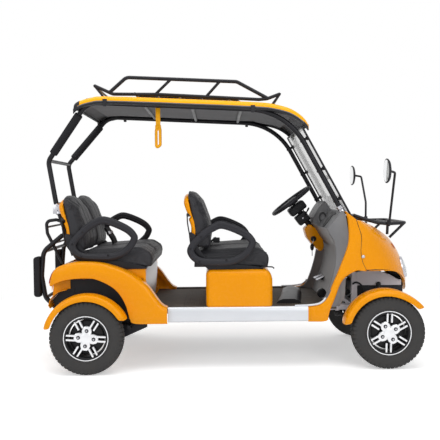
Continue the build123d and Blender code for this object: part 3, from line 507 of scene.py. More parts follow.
def add_tube(shape, path, radius, sides=14, closed=False, squash=1.0):
    """Adds a round tube along a path; its ends are capped."""
    path = [Vector(p) for p in path]
    count = len(path)
    side = None
    rows = []
    for i, point in enumerate(path):
        before = path[i - 1] if i or closed else point
        after = path[(i + 1) % count] if i < count - 1 or closed else point
        along = (after - before).normalized()
        if side is None:
            side = along.orthogonal().normalized()
        side = (side - along * side.dot(along)).normalized()
        other = along.cross(side)
        rows.append([point + (side * cos(a) + other * sin(a) * squash) * radius for a in full_turn(sides)])
    if closed:
        add_grid(shape, rows, wrap_rows=True, wrap_columns=True)
    else:
        add_capped(shape, rows)


def add_turned(shape, centre, axis, profile, sides=48):
    """Adds a turned shape: a profile of (radius, distance along the axis)."""
    centre, axis = Vector(centre), Vector(axis).normalized()
    side = axis.orthogonal().normalized()
    other = axis.cross(side)
    rows = []
    for radius, along in profile:
        middle = centre + axis * along
        rows.append([middle + (side * cos(a) + other * sin(a)) * radius for a in full_turn(sides)])
    add_capped(shape, rows)


def add_rod(shape, start, end, radius, sides=14, end_radius=None):
    """Adds a round bar between two points, tapered if it is told to be."""
    run = Vector(end) - Vector(start)
    add_turned(shape, start, run, ((radius, 0.0), (end_radius or radius, run.length)), sides)


def add_cross_bars(shape, places, half, radius, sides=14):
    """Adds bars that reach from side to side, each at an (x, z) place."""
    for x, z in places:
        add_rod(shape, (x, -half, z), (x, half, z), radius, sides)


def add_plate(shape, outline, low, high, edge=0.0, plane="XZ"):
    """Adds an outline drawn in two axes, with a thickness and rounded edges."""
    places = {
        "XZ": lambda a, b, t: (a, t, b), "XY": lambda a, b, t: (a, b, t), "YZ": lambda a, b, t: (t, a, b)
    }
    put = places[plane]
    made = bmesh.new()
    add_capped(made, [[put(a, b, t) for a, b in outline] for t in (low, high)])
    faced_out(made)
    if edge:
        rims = [e for e in made.edges if e.calc_face_angle(0) > radians(30)]
        bmesh.ops.bevel(
            made, geom=rims, offset=edge, segments=3, profile=0.5, affect="EDGES", clamp_overlap=True
        )
    absorb(shape, made)


def absorb(shape, other):
    """Moves one bmesh into another."""
    step = as_mesh(other, "step")
    shape.from_mesh(step)
    bpy.data.meshes.remove(step)


def box_outline(a, b):
    """The corners of a rectangle from two (low, high) pairs."""
    return ((a[0], b[0]), (a[1], b[0]), (a[1], b[1]), (a[0], b[1]))


def add_block(shape, x, y, z, edge=0.002):
    """Adds a box from three (low, high) pairs, with rounded edges."""
    add_plate(shape, box_outline(x, z), *y, edge)


def smooth_line(points, steps=6, closed=False):
    """A Catmull-Rom curve through a few points, as a longer list of points."""
    points = [Vector(p) for p in points]
    count = len(points)
    line = []
    for i in range(count if closed else count - 1):
        a, b = points[i], points[(i + 1) % count]
        before = points[i - 1] if i or closed else a * 2 - b
        after = points[(i + 2) % count] if closed or i + 2 < count else b * 2 - a
        for step in range(steps):
            t = step / steps
            line.append(
                0.5 * (2 * a + (b - before) * t + (2 * before - 5 * a + 4 * b - after) * t**2
                       + (3 * a - before - 3 * b + after) * t**3)
            )
    if not closed:
        line.append(points[-1])
    return line


def mended(shape):
    """Welds doubles and turns the faces outwards."""
    bmesh.ops.remove_doubles(shape, verts=shape.verts, dist=0.00002)
    return faced_out(shape)

# %% [markdown]
# ## The tube frame
# One pipe a side runs from the rear body up the hoop, slants forward under a
# foam sleeve, follows the roof and comes down as the windscreen pillar. It is
# drawn as a path of corners with the bend radius of each, like a bending sheet.

# %% Frame tubes
SIDES = (-1, 1)


def metres(points):
    """Points given in millimetres, in metres."""
    return [Vector(p) * MM for p in points]


def across(points, side):
    """Points of the left side, carried to a side."""
    return [at(p[0], p[1] * side, p[2]) for p in points]


frame_tube_r = 0.016
frame_path = metres((
    (-985, 292, 716), (-1096, 280, 1050), (-1142, 280, 1330),
    (-859, 400, 1691), (398, 400, 1628), (800, 400, 892),
))
frame_bends = [0, 0.3, 0.06, 0.13, 0.42, 0]
roof_back, roof_fore, pillar_foot = frame_path[3], frame_path[4], frame_path[5]


def roof_height(x):
    """Height of the roof tubes' centre line."""
    share = (x - roof_back.x) / (roof_fore.x - roof_back.x)
    return roof_back.z + share * (roof_fore.z - roof_back.z)


def on_pillar(z, side, out=0.0):
    """A point on a windscreen pillar at a height, moved out in front of it."""
    share = (roof_fore.z - z) / (roof_fore.z - pillar_foot.z)
    along = (pillar_foot - roof_fore).normalized()
    point = roof_fore.lerp(pillar_foot, share) + at(-along.z, 0, along.x) * out
    return at(point.x, side * point.y, point.z)


tubes = bmesh.new()
for side in SIDES:
    add_tube(tubes, rounded(across(frame_path, side), frame_bends, steps=12), frame_tube_r, sides=20)
    for z in (1.44, 1.25, 1.06):
        add_rod(tubes, on_pillar(z, side), on_pillar(z, side, 0.0297), 0.009)
        add_rod(tubes, on_pillar(z, side, -0.019), on_pillar(z, side, -0.014), 0.007)
add_cross_bars(tubes, ((-1.134, 1.332), (-1.096, 1.05)), 0.28, 0.012)
add_cross_bars(tubes, [(x, roof_height(x) + 0.004) for x in (-0.505, -0.200, 0.112)], 0.4, 0.012)
dress("canopy_tubes", tubes, frame_black, node="canopy_frame")

foam = bmesh.new()
foam_r = 0.0265
for side in SIDES:
    low, high = across(frame_path[2:4], side)
    start, stop = low.lerp(high, 0.13), low.lerp(high, 0.80)
    lip = [(foam_r - 0.006, 0.0), (foam_r - 0.001, 0.003), (foam_r, 0.009)]
    length = (stop - start).length
    profile = lip + [(foam_r, length - 0.009), (foam_r - 0.001, length - 0.003), (foam_r - 0.006, length)]
    add_turned(foam, start, stop - start, profile, sides=28)
dress("foam_grips", foam, foam_black, node="foam_sleeves")
print("frame tube", round(sum((b - a).length for a, b in zip(frame_path, frame_path[1:])), 2), "m a side")

# %% [markdown]
# The roof rack is a tray of thin bars: a low rail on each side whose ends kick
# up, a high rail that bends down to meet it, struts between the two, and cross
# bars that carry the load. All of it is tube, so it is one list of runs.

# %% Roof rack
roof_profile = metres((
    (-948, 0, 1652), (-935, 0, 1682), (-885, 0, 1706), (-760, 0, 1717), (238, 0, 1667),
    (395, 0, 1643), (480, 0, 1604), (540, 0, 1545), (536, 0, 1528),
))


def roof_skin(x):
    """Height of the roof's upper face at a place along it."""
    for a, b in zip(roof_profile[2:], roof_profile[3:]):
        if a.x <= x <= b.x:
            return a.z + (b.z - a.z) * (x - a.x) / (b.x - a.x)
    return roof_profile[2].z


rack_y = 0.385
rack_low = metres((
    (-815, 0, 1798), (-698, 0, 1744), (-421, 0, 1740), (-141, 0, 1724), (225, 0, 1702), (275, 0, 1706),
    (358, 0, 1736),
))
rack_high = metres(((-722, 0, 1752), (-612, 0, 1848), (85, 0, 1815), (276, 0, 1711)))


def low_rail(x):
    """Height of the low rail at a place along it."""
    return 1.740 - 0.057 * (x + 0.421)


def beside(point, y):
    """A point carried to a place across."""
    return at(point.x, y, point.z)


rack = bmesh.new()
for side in SIDES:
    y = side * rack_y
    add_tube(rack, rounded([beside(p, y) for p in rack_low], 0.05), 0.0105)
    add_tube(rack, rounded([beside(p, y) for p in rack_high], 0.05), 0.0115)
    for top_x, foot_x in ((-0.33, -0.43), (-0.02, -0.11)):
        share = (top_x - rack_high[1].x) / (rack_high[2].x - rack_high[1].x)
        top = rack_high[1].lerp(rack_high[2], share)
        add_rod(rack, beside(top, y), (foot_x, y, low_rail(foot_x)), 0.009)
    feet = [(beside(rack_low[0], y), -0.752, 0.002), (beside(rack_low[-1], y), 0.300, 0.002)]
    feet += [(at(x, y, low_rail(x)), x, 0.001) for x in (-0.421, -0.141)]
    for head, foot_x, gap in feet:
        skin_z = roof_skin(foot_x)
        add_rod(rack, head, (foot_x, y, skin_z + gap), 0.007)
        add_rod(rack, (foot_x, y, skin_z - 0.001), (foot_x, y, skin_z + 0.004), 0.016)
bars = [(p.x, p.z) for p in (rack_low[0], rack_low[-1])]
bars += [(x, low_rail(x)) for x in (-0.56, -0.421, -0.28, -0.141, 0.04)]
add_cross_bars(rack, bars, rack_y, 0.007)
dress("roof_rack_tubes", rack, frame_black, node="roof_rack")

# %% [markdown]
# ## The roof
# The roof is one moulded shell. Its top is crowned across, its edge carries an
# orange band over a black strip, and a grey liner closes it from below. The
# skin is a grid: each row is one line across, from the left edge to the right.

# %% Roof shell, edge strip and liner
roof_half = 0.44
roof_crown = 0.006
roof_edge_r = 0.03


def roof_row(x, z, half, drop):
    """One line across the roof, from edge to edge, with rounded shoulders."""
    shoulder = min(roof_edge_r, drop)
    inner = half - shoulder
    row = [(y, z + roof_crown * (1 - (y / inner) ** 2)) for y in np.linspace(-inner, inner, 23)]
    turn = [radians(a) for a in (22, 45, 68, 90)]
    bend = [(inner + shoulder * sin(a), z - shoulder * (1 - cos(a))) for a in turn] + [(half, z - drop)]
    return [at(x, y, h) for y, h in [(-a, b) for a, b in reversed(bend)] + row + bend]


roof_rim = smooth_line(metres((
    (-944, 0, 1662), (-930, 0, 1684), (-885, 0, 1706), (-825, 0, 1721), (-760, 0, 1727), (-500, 0, 1718),
    (-250, 0, 1706), (0, 0, 1694), (238, 0, 1680), (320, 0, 1669), (395, 0, 1650), (440, 0, 1630),
    (482, 0, 1602), (515, 0, 1570), (537, 0, 1541),
)), steps=3)
band_drop = 0.030
skin = bmesh.new()
roof_rows = []
for i, point in enumerate(roof_rim):
    end = min(i, len(roof_rim) - 1 - i)
    inset = 0.030 * max(0.0, 1 - end / 5.0) ** 2
    roof_rows.append(roof_row(point.x, point.z, roof_half - inset, band_drop))
add_grid(skin, roof_rows)
roof_shell = skin_wall(0.006, inside=1, rim=1)
dress("roof_skin", faced_out(skin), [roof_yellow, liner_grey], node="canopy", wall=roof_shell)

strip = bmesh.new()
for side in SIDES:
    y_out, y_in = side * (roof_half - 0.001), side * (roof_half - 0.022)
    run = [(p.x, p.z - band_drop + 0.004) for p in roof_rim[1:-1]]
    corners = ((y_out, 0.0), (y_out, 0.024), (y_in, 0.026), (y_in, 0.0))
    rows = [[at(x, y, z - d) for y, d in corners] for x, z in run]
    add_capped(strip, rows)
    for x in (-0.741, 0.183):
        z = roof_skin(x) - 0.010
        tab = [(x - 0.014, z), (x + 0.014, z), (x + 0.010, z - 0.046), (x - 0.010, z - 0.046)]
        add_plate(strip, tab, *sorted((side * roof_half, side * (roof_half + 0.007))), edge=0.002)
lips = [(rim.x + lean, rim.z - 0.006) for rim, lean in ((roof_rim[-1], -0.008), (roof_rim[0], 0.008))]
add_cross_bars(strip, lips, 0.404, 0.008)
tail_lip = [[at(p.x - 0.0015, p.y * 1.004, p.z + 0.0012) for p in row] for row in roof_rows[:6]]
inner_lip = [[at(p.x + 0.004, p.y * 0.996, p.z - 0.003) for p in row] for row in roof_rows[:6]]
add_grid(strip, tail_lip + inner_lip[::-1], wrap_rows=True)
dress("roof_edge_strip", faced_out(strip), trim_black)

liner = bmesh.new()
rows = []
for x in np.linspace(-0.86, 0.43, 26):
    drop = -0.012 if x > -0.78 else -0.012 - 0.010 * (x + 0.78) / 0.08
    z = roof_height(x) - drop
    if x > 0.22:
        z = roof_skin(x) - 0.028 + 0.012 * max(0.0, (0.30 - x) / 0.08 if x < 0.30 else 0.0)
    row = []
    for share in np.linspace(-1, 1, 17):
        y = share * 0.424
        lift = 0.018 * max(0.0, abs(share) - 0.86) / 0.14
        row.append(at(x, y, z - 0.006 * (1 - share**2) + lift))
    rows.append(row)
add_grid(liner, rows)
liner_wall = skin_wall(0.004, 0.0)
dress("roof_liner", faced_out(liner), liner_grey, node="headliner", wall=liner_wall)

# %% [markdown]
# ## The body panels
# The mudguards of the rear body, the leg shields and the nose are thin moulded
# skins with soft shoulders. Each is drawn as a set of rungs, a top point and a
# low point seen from the side. A smooth curve runs through the tops and one
# through the lows, and every rung becomes a section that rolls over a shoulder.

# %% Rungs and sections
def side_run(points, y=0):
    """Side-view points given in millimetres, at a place across."""
    return [at(x * MM, y, z * MM) for x, z in points]


def run_through(points, steps):
    """A smooth line through side-view points given in millimetres."""
    return smooth_line(side_run(points), steps)


def rolled_section(top, low, y_in, y_out, shoulder, lip, crown=0.0, fall=5):
    """A section that runs out along the top, rolls over and comes down the side."""
    top, low = at(top.x, 0, top.z), at(low.x, 0, low.z)
    down = low - top
    length = max(down.length, 1e-5)
    down = down / length
    reach = min(shoulder, length * 0.8)
    out = 1 if y_out > y_in else -1
    section = [top + at(0, y_in + (y_out - out * reach - y_in) * s, 0) for s in (0, 0.34, 0.67, 1)]
    for angle in (18, 36, 54, 72, 90):
        a = radians(angle)
        place = top + down * reach * (1 - cos(a))
        section.append(at(place.x, y_out - out * reach * (1 - sin(a)), place.z))
    for step in range(1, fall + 1):
        share = reach + (length - reach) * step / fall
        swell = crown * sin(pi * step / fall)
        place = top + down * share
        section.append(at(place.x, y_out + out * swell, place.z))
    if lip:
        place = low + down * 0.003
        section.append(at(place.x, y_out - out * 0.004, place.z))
        section.append(at(place.x, y_out - out * lip, place.z))
    return section


panel_wall = skin_wall(0.004, inside=1)

# %% [markdown]
# The rear body is a mudguard on each side, joined by a tail wall. It carries a
# rolled shoulder, a wide side face and an arch round the wheel.

# %% Rear body
rear_top = (
    (-1101, 549), (-1085, 610), (-1066, 643), (-1030, 667), (-930, 690), (-793, 685), (-700, 662),
    (-619, 629), (-548, 584), (-489, 537), (-450, 484), (-418, 439), (-392, 411), (-364, 397),
)
rear_low = (
    (-1092, 541), (-1068, 556), (-1044, 566), (-1005, 579), (-930, 590), (-830, 590), (-750, 562),
    (-690, 524), (-650, 478), (-620, 420), (-604, 365), (-594, 330), (-560, 303), (-364, 302),
)
rear_half, rear_inner = 0.5, 0.412
rear_skin = bmesh.new()
tops, lows = run_through(rear_top, 5), run_through(rear_low, 5)
for side in SIDES:
    rows = []
    for i, (top, low) in enumerate(zip(tops, lows)):
        fade = min(1.0, i / 20)
        shoulder = 0.030 * (0.4 + 0.6 * fade)
        y_out = side * (rear_half - 0.018 * (1 - fade) ** 2)
        rows.append(rolled_section(top, low, side * rear_inner, y_out, shoulder, 0.018, crown=0.003))
    add_grid(rear_skin, rows)
    add_grid(
        rear_skin, [[at(top.x, side * rear_inner, top.z - d) for d in (0.0, 0.02, 0.05)] for top in tops]
    )
tail_line = ((-1101, 549), (-1094, 585), (-1082, 616), (-1064, 643), (-1030, 667), (-1012, 672))
stations = np.linspace(-rear_inner, rear_inner, 25)
add_grid(rear_skin, [[at(x * MM, y, z * MM) for y in stations] for x, z in tail_line])
dress("rear_body_skin", mended(rear_skin), body_orange, node="rear_body", wall=panel_wall)

tail = bmesh.new()
valance = run_through(((-1118, 414), (-1106, 448), (-1080, 482), (-1044, 504), (-1000, 515)), 4)
rows = [[at(p.x, share * 0.450, p.z) for share in np.linspace(-1, 1, 33)] for p in valance]
add_grid(tail, rows)
add_grid(tail, [[p + at(0.012, 0, -0.020) for p in rows[0]], rows[0]])
tail_cheeks = (
    ((-1092, 545), (-1050, 566), (-985, 585)), ((-1098, 470), (-1050, 500), (-985, 515)),
)
for side in SIDES:
    add_grid(tail, [side_run(line, side * 0.406) for line in tail_cheeks])
bmesh.ops.remove_doubles(tail, verts=tail.verts, dist=0.0001)
dress("tail_valance", faced_out(tail), body_orange, node="tail_panel", wall=panel_wall)

arch_lining = bmesh.new()
lining_cheeks = (
    ((-1100, 440), (-1050, 498), (-960, 520)), ((-1070, 372), (-1030, 360), (-960, 360)),
)
for side in SIDES:
    rows = []
    for low, top in zip(lows[6:56], tops[6:56]):
        place = low + (top - low).normalized() * 0.020
        rows.append([at(place.x, side * y, place.z) for y in (0.494, 0.44, 0.398)])
    add_grid(arch_lining, rows)
    wall = []
    for low, top in zip(lows[6:56], tops[6:56]):
        foot = at(low.x, 0, max(0.302, low.z - 0.20))
        wall.append([at(p.x, side * 0.398, p.z) for p in (low + (top - low).normalized() * 0.020, foot)])
    add_grid(arch_lining, wall)
    add_grid(arch_lining, [side_run(line, side * 0.402) for line in lining_cheeks])
lining_wall = skin_wall(0.003, 0.0)
dress("rear_arch_lining", mended(arch_lining), trim_black, wall=lining_wall)

lamps = bmesh.new()
lamp_line = side_run(((-1105, 556), (-1101, 582), (-1090, 612), (-1076, 634)))
lamp_columns = ((0, 0.36), (0, 0.42), (0.004, 0.468))
for side in SIDES:
    add_grid(lamps, [[at(p.x + fore, side * y, p.z) for fore, y in lamp_columns] for p in lamp_line])
dress("tail_lamps", mended(lamps), lens_red, wall=skin_wall(0.006, 0.6))

# %% [markdown]
# Under the rear bench stands an orange base. Its front is a pale curved apron,
# whose pale silver colour partly paints the floor's reflection on it.

# %% Rear seat base
base = bmesh.new()
base_half = 0.400
base_side = (
    (-985, 572), (-985, 640), (-508, 640), (-506, 600), (-503, 480), (-500, 386), (-522, 386), (-522, 572),
)
add_plate(base, [(x * MM, z * MM) for x, z in base_side], -base_half, base_half, edge=0.004)
dress("rear_seat_plinth", base, body_orange, node="rear_seat_base")

# The apron's pale silver colour partly paints the floor's reflection on the base's front.
apron = bmesh.new()
apron_line = ((-500, 640), (-489, 610), (-485, 572), (-487, 520), (-493, 450), (-500, 387))
shares = np.linspace(-1, 1, 25)
bow = 0.024
add_grid(apron, [[at(x * MM - bow * s**2, s * 0.398, z * MM) for s in shares] for x, z in apron_line])
dress("rear_seat_apron", faced_out(apron), sill_silver, wall=lining_wall)

# %% [markdown]
# The leg shields sweep from the windscreen pillars down to the sills. A flat
# plate would look like card there. Two lines are drawn instead, one for each edge,
# and sections that roll over at the rim run from one to the other.

# %% Leg shields
shield_rungs = (
    ((762, 990), (826, 940)), ((778, 930), (841, 893)), ((783, 828), (860, 828)), ((774, 765), (856, 736)),
    ((752, 702), (868, 668)), ((732, 652), (893, 613)), ((716, 612), (839, 618)), ((700, 575), (766, 581)),
    ((678, 525), (725, 530)), ((656, 470), (698, 460)), ((634, 434), (664, 374)), ((604, 409), (652, 336)),
    ((572, 397), (636, 299)), ((524, 391), (524, 297)),
)
shield_y = 0.445
shields = bmesh.new()
inner_line = run_through([r[0] for r in shield_rungs], 5)
outer_line = run_through([r[1] for r in shield_rungs], 5)
for side in SIDES:
    inside, outside = side * (shield_y - 0.030), side * shield_y
    add_grid(shields, [
        rolled_section(inner, outer, inside, outside, 0.016, 0.020, crown=0.005)
        for inner, outer in zip(inner_line, outer_line)
    ])
dress("leg_shields", mended(shields), [body_orange, dash_grey], node="cowl_sides", wall=panel_wall)

# %% [markdown]
# The nose meets the shields at a seam. It could be carved from a block, but it
# is one sweep in sheet, so its skin is a family of level curves: each starts on
# the seam at the side and swings round the front to the middle.

# %% Nose
nose_half = 0.4435
nose_seam = run_through(((830, 935), (846, 885), (862, 828), (858, 736), (870, 668), (897, 612)), 12)
nose_middle = run_through((
    (925, 918), (978, 898), (1029, 872), (1117, 808), (1177, 730), (1218, 641), (1240, 560), (1245, 500),
    (1244, 430),
), 12)


def along_line(line, share):
    """A point at a share of a line's length."""
    lengths = [0.0]
    for a, b in zip(line, line[1:]):
        lengths.append(lengths[-1] + (b - a).length)
    wanted = share * lengths[-1]
    for i in range(len(line) - 1):
        if lengths[i + 1] >= wanted:
            part = (wanted - lengths[i]) / max(lengths[i + 1] - lengths[i], 1e-9)
            return line[i].lerp(line[i + 1], part)
    return line[-1].copy()


def nose_point(level, turn):
    """A point of the nose: level 0 is the top, 1 the lower edge; turn is from the middle."""
    seam, middle = along_line(nose_seam, level), along_line(nose_middle, level)
    forward = cos(turn)
    fall = max(forward, 0.0) ** (1 + 3.6 * level**3)
    flat = 1 - 0.06 * sin(2 * abs(turn)) ** 2 * (1 - level)
    return at(
        seam.x + (middle.x - seam.x) * forward * flat,
        nose_half * sin(turn),
        seam.z + (middle.z - seam.z) * fall,
    )


def nose_normal(level, turn):
    """The outward direction of the nose's skin."""
    step = 0.004
    a = nose_point(min(level + step, 1), turn) - nose_point(max(level - step, 0), turn)
    b = nose_point(level, turn + step) - nose_point(level, turn - step)
    normal = a.cross(b).normalized()
    return normal if normal.x > 0 else -normal


levels = [i / 34 for i in range(35)]
turns = [radians(a) for a in np.linspace(-90, 90, 61)]
nose_skin = bmesh.new()
rows = [[at(0.829, nose_point(0, t).y, 0.936) for t in turns]]
rows += [[nose_point(level, t) for t in turns] for level in levels]
for back in (0.006, 0.012):
    rows.append([p + at(-back, 0, 0.004) for p in rows[-1]])
add_grid(nose_skin, rows)
dress("nose_skin", mended(nose_skin), [body_orange, trim_black], node="nose", wall=panel_wall)
# A thin black tube along each seam is painted shade: it draws the shadow line where the leg shields stand
# proud of the nose.
seam_shadow_line = bmesh.new()
for side in SIDES:
    add_tube(seam_shadow_line, [at(p.x - 0.0005, side * 0.4442, p.z) for p in nose_seam], 0.0016, sides=8)
dress("nose_seam_shadow_lines", mended(seam_shadow_line), trim_black)

# %% [markdown]
# The head lamps follow the nose's skin: a bezel ring, a clear lens with a dome
# and a bright bowl behind it. Rings of points are laid on the skin itself, so
# nothing has to be cut. Two small amber lenses are laid above them the same way.

# %% Head lamps
def nearest_place(target):
    """The level and turn of the nose point nearest a target."""
    tries = ((l / 40, t) for l in range(41) for t in np.linspace(0, pi / 2, 46))
    return min(tries, key=lambda lt: (nose_point(*lt) - target).length)


lamp_level, lamp_turn = nearest_place(at(1.204, 0.190, 0.612))
lamp_r = 0.058


def lamp_rows(side, rings, lift):
    """Rings on the nose's skin round a lamp, raised by a profile."""
    centre = nose_point(lamp_level, side * lamp_turn)
    normal = nose_normal(lamp_level, side * lamp_turn)
    across_dir = at(0, 0, 1).cross(normal).normalized()
    up_dir = normal.cross(across_dir)
    spokes = [across_dir * cos(a) + up_dir * sin(a) for a in full_turn(40)]
    return [
        [centre + spoke * radius + normal * (height + lift) for spoke in spokes] for radius, height in rings
    ]


lenses, bezels, bowls = bmesh.new(), bmesh.new(), bmesh.new()
for side in SIDES:
    dome = [(lamp_r * sin(a), 0.016 * cos(a)) for a in np.radians([4, 20, 36, 52, 68, 80, 90])]
    rows = lamp_rows(side, dome, 0.001)
    lenses.faces.new(add_grid(lenses, rows, wrap_columns=True)[0])
    ring = [
        (0.0595, -0.020), (0.0595, 0.004), (0.062, 0.006), (0.067, 0.006), (0.071, 0.001), (0.072, -0.020)
    ]
    add_grid(bezels, lamp_rows(side, ring, 0.001), wrap_rows=True, wrap_columns=True)
    dish = [(0.060 * s, 0.0005 + 0.0035 * s**2) for s in (0.12, 0.4, 0.7, 0.9, 1.0)]
    bowls.faces.new(add_grid(bowls, lamp_rows(side, dish, 0.0), wrap_columns=True)[0])
thin_wall = skin_wall(0.003)
dress("head_lamp_lenses", mended(lenses), lens_clear, node="head_lamps", wall=thin_wall)
dress("head_lamp_bezels", mended(bezels), clamp_silver)
dress("head_lamp_bowls", mended(bowls), sill_silver, wall=thin_wall)

marks = bmesh.new()
level, turn = nearest_place(at(1.118, 0.215, 0.752))
for side in SIDES:
    rows = []
    for up in np.linspace(-1, 1, 13):
        wide = sqrt(max(0.01, 1 - up**2))
        row = []
        for aside in np.linspace(-1, 1, 9):
            place = level + 0.040 * up, side * (turn + 0.050 * wide * aside)
            lift = 0.001 + 0.005 * wide * (1 - aside**2)
            row.append(nose_point(*place) + nose_normal(*place) * lift)
        rows.append(row)
    add_grid(marks, rows)
dress("nose_side_marks", mended(marks), lens_amber, wall=thin_wall)

# %% [markdown]
# ## The wheels
# An arched mudguard covers each wheel. One section rolls from its inner edge over
# to its outer lip, and it is swung round the hub. Near both ends the section
# narrows, which rounds the ends off as a moulding's are.

# %% Mudguards
def guard_rows(hub_x, radius, span, y_in, y_out, side, flare):
    """Sections of an arched mudguard with a rolled shoulder and rounded ends."""
    rows = []
    low, high = span
    for i in range(49):
        share = i / 48
        angle = radians(low + (high - low) * share)
        end = min(share, 1 - share) * (high - low) / 7.0
        taper = sqrt(max(0.0, 1 - max(0.0, 1 - end) ** 2))
        reach = radius + flare * max(0.0, 1 - share / 0.3) ** 2
        mid_y = (y_in + y_out) / 2 + 0.012
        wide = 0.55 + 0.45 * taper
        inner, outer = mid_y + (y_in - mid_y) * wide, mid_y + (y_out - mid_y) * wide
        lip = 0.012 + 0.024 * taper
        bend = 0.022 * (0.5 + 0.5 * taper)
        section = [(inner, -0.010), (inner, -0.003), (inner + 0.006, 0.0)]
        flat = outer - bend
        section += [(inner + (flat - inner) * s, 0.003 * sin(pi * s)) for s in (0.25, 0.5, 0.75, 1)]
        for turn in (18, 36, 54, 72, 90):
            a = radians(turn)
            section.append((flat + bend * sin(a), -bend * (1 - cos(a))))
        section += [(outer, -max(lip, bend + 0.003)), (outer - 0.004, -max(lip, bend + 0.003) - 0.003)]
        out = at(cos(angle), 0, sin(angle))
        hub = at(hub_x, 0, wheel_r)
        rows.append([hub + out * (reach + lift) + at(0, side * y, 0) for y, lift in section])
    return rows


wheel_r = 0.230
front_hub_x, rear_hub_x = 1.021, -0.857
front_wheel_y, rear_wheel_y = 0.4625, 0.5375
guard_settings = (
    ("front", front_hub_x - 0.014, 0.271, (34, 168), 0.401, 0.523, 0.014),
    ("rear", rear_hub_x, 0.268, (25, 167), 0.486, 0.598, 0.003),
)
for end, hub_x, radius, span, y_in, y_out, flare in guard_settings:
    for side, hand in zip(SIDES, ("right", "left")):
        guard = bmesh.new()
        add_grid(guard, guard_rows(hub_x, radius, span, y_in, y_out, side, flare))
        mended(guard)
        centre = at(hub_x, side * y_in, wheel_r)
        if sum(f.normal.dot(f.calc_center_median() - centre) * f.calc_area() for f in guard.faces) < 0:
            bmesh.ops.reverse_faces(guard, faces=guard.faces)
        body = f"knuckle_{hand}" if end == "front" else "chassis"
        name = f"{end}_mudguard_{hand}"
        dress(f"{name}_skin", guard, [body_orange, trim_black], body=body, node=name, wall=panel_wall)

for side, hand in zip(SIDES, ("right", "left")):
    stay = bmesh.new()
    x = front_hub_x - 0.018
    add_block(stay, (x - 0.013, x + 0.013), sorted((side * 0.404, side * 0.408)), (0.262, 0.495), 0.001)
    add_rod(stay, (x, side * 0.403, 0.480), (x, side * 0.414, 0.480), 0.006, sides=6)
    dress(f"knuckle_{hand}_guard_stay", stay, subframe_grey, body=f"knuckle_{hand}")

# %% [markdown]
# The repeat group copies one pitch of a shape round a wheel. A loop could add the
# copies one by one, but Geometry Nodes does it in a step. Its inputs are the number
# of copies, the hub's place and the material.

# %% Repeat round a hub
def repeat_group():
    """Geometry Nodes: copies a shape round the Y axis and moves it to a hub."""
    group = bpy.data.node_groups.new("repeat round a hub", "GeometryNodeTree")
    face = group.interface
    for name, kind in (
        ("Geometry", "Geometry"), ("Copies", "Int"), ("Hub", "Vector"), ("Finish", "Material")
    ):
        face.new_socket(name, in_out="INPUT", socket_type=f"NodeSocket{kind}")
    face.new_socket("Geometry", in_out="OUTPUT", socket_type="NodeSocketGeometry")
    network = Network(group)
    shape, copies, hub, finish = (
        Value(network, out) for out in group.nodes.new("NodeGroupInput").outputs[:4]
    )
    points = network.node("GeometryNodeMeshLine", None, {"Offset": (0, 0, 0), "Count": copies})
    step = network.node("ShaderNodeMath", {"operation": "DIVIDE"}, {0: tau, 1: copies})
    spin = network.node("ShaderNodeCombineXYZ", None, {"Y": network.node("GeometryNodeInputIndex") * step})
    ring = network.node(
        "GeometryNodeInstanceOnPoints", None, {"Points": points, "Instance": shape, "Rotation": spin},
    )
    real = network.node("GeometryNodeRealizeInstances", None, {0: ring})
    moved = network.node("GeometryNodeTransform", None, {"Geometry": real, "Translation": hub})
    painted = network.node("GeometryNodeSetMaterial", None, {"Geometry": moved, "Material": finish})
    network.feed(group.nodes.new("NodeGroupOutput").inputs[0], painted)
    return group


repeat_nodes = repeat_group()


def repeated(shape, copies, hub, finish):
    """A bmesh copied round a hub, as a new bmesh."""
    holder = linked("one pitch", as_mesh(shape, "one pitch"))
    modifier = holder.modifiers.new("repeat", "NODES")
    modifier.node_group = repeat_nodes
    values = {"Copies": copies, "Hub": tuple(hub), "Finish": finish}
    for item in repeat_nodes.interface.items_tree:
        if item.in_out == "INPUT" and item.name in values:
            modifier[item.identifier] = values[item.name]
    holder.update_tag()
    bake(holder)
    result = bmesh.new()
    result.from_mesh(holder.data)
    bpy.data.objects.remove(holder)
    return result


# %% [markdown]
# Each tyre is a closed ring with a raised line on its wall, and a strip of tread
# blocks repeated round it. Only one pitch of the tread is drawn: a shoulder block
# and a middle block for each half, half a pitch apart.

# %% Tyres
def ring_about_y(shape, hub, profile, sides=96):
    """A closed ring round a hub from a loop of (radius, y) points."""
    rows = [[hub + at(r * cos(a), y, r * sin(a)) for r, y in profile] for a in full_turn(sides)]
    add_grid(shape, rows, wrap_rows=True, wrap_columns=True)


def tread_block(shape, angles, stations, base, y_flip):
    """One tread block: outer points over a range of angle, with walls down to a base."""
    outer, inner = [], []
    for angle in angles:
        a = radians(angle)
        out = at(cos(a), 0, sin(a))
        outer.append([out * r + at(0, y_flip * y, 0) for r, y in stations])
        inner.append([out * (r - base) + at(0, y_flip * (y - base * 0.6), 0) for r, y in stations])
    edges = []
    for rows in (outer, inner):
        verts = add_grid(shape, rows)
        far_side, near_side = [row[-1] for row in verts[1:-1]], [row[0] for row in verts[-2:0:-1]]
        edges.append(verts[0] + far_side + verts[-1][::-1] + near_side)
    top, low = edges
    for k in range(len(top)):
        j = (k + 1) % len(top)
        shape.faces.new((top[k], top[j], low[j], low[k]))


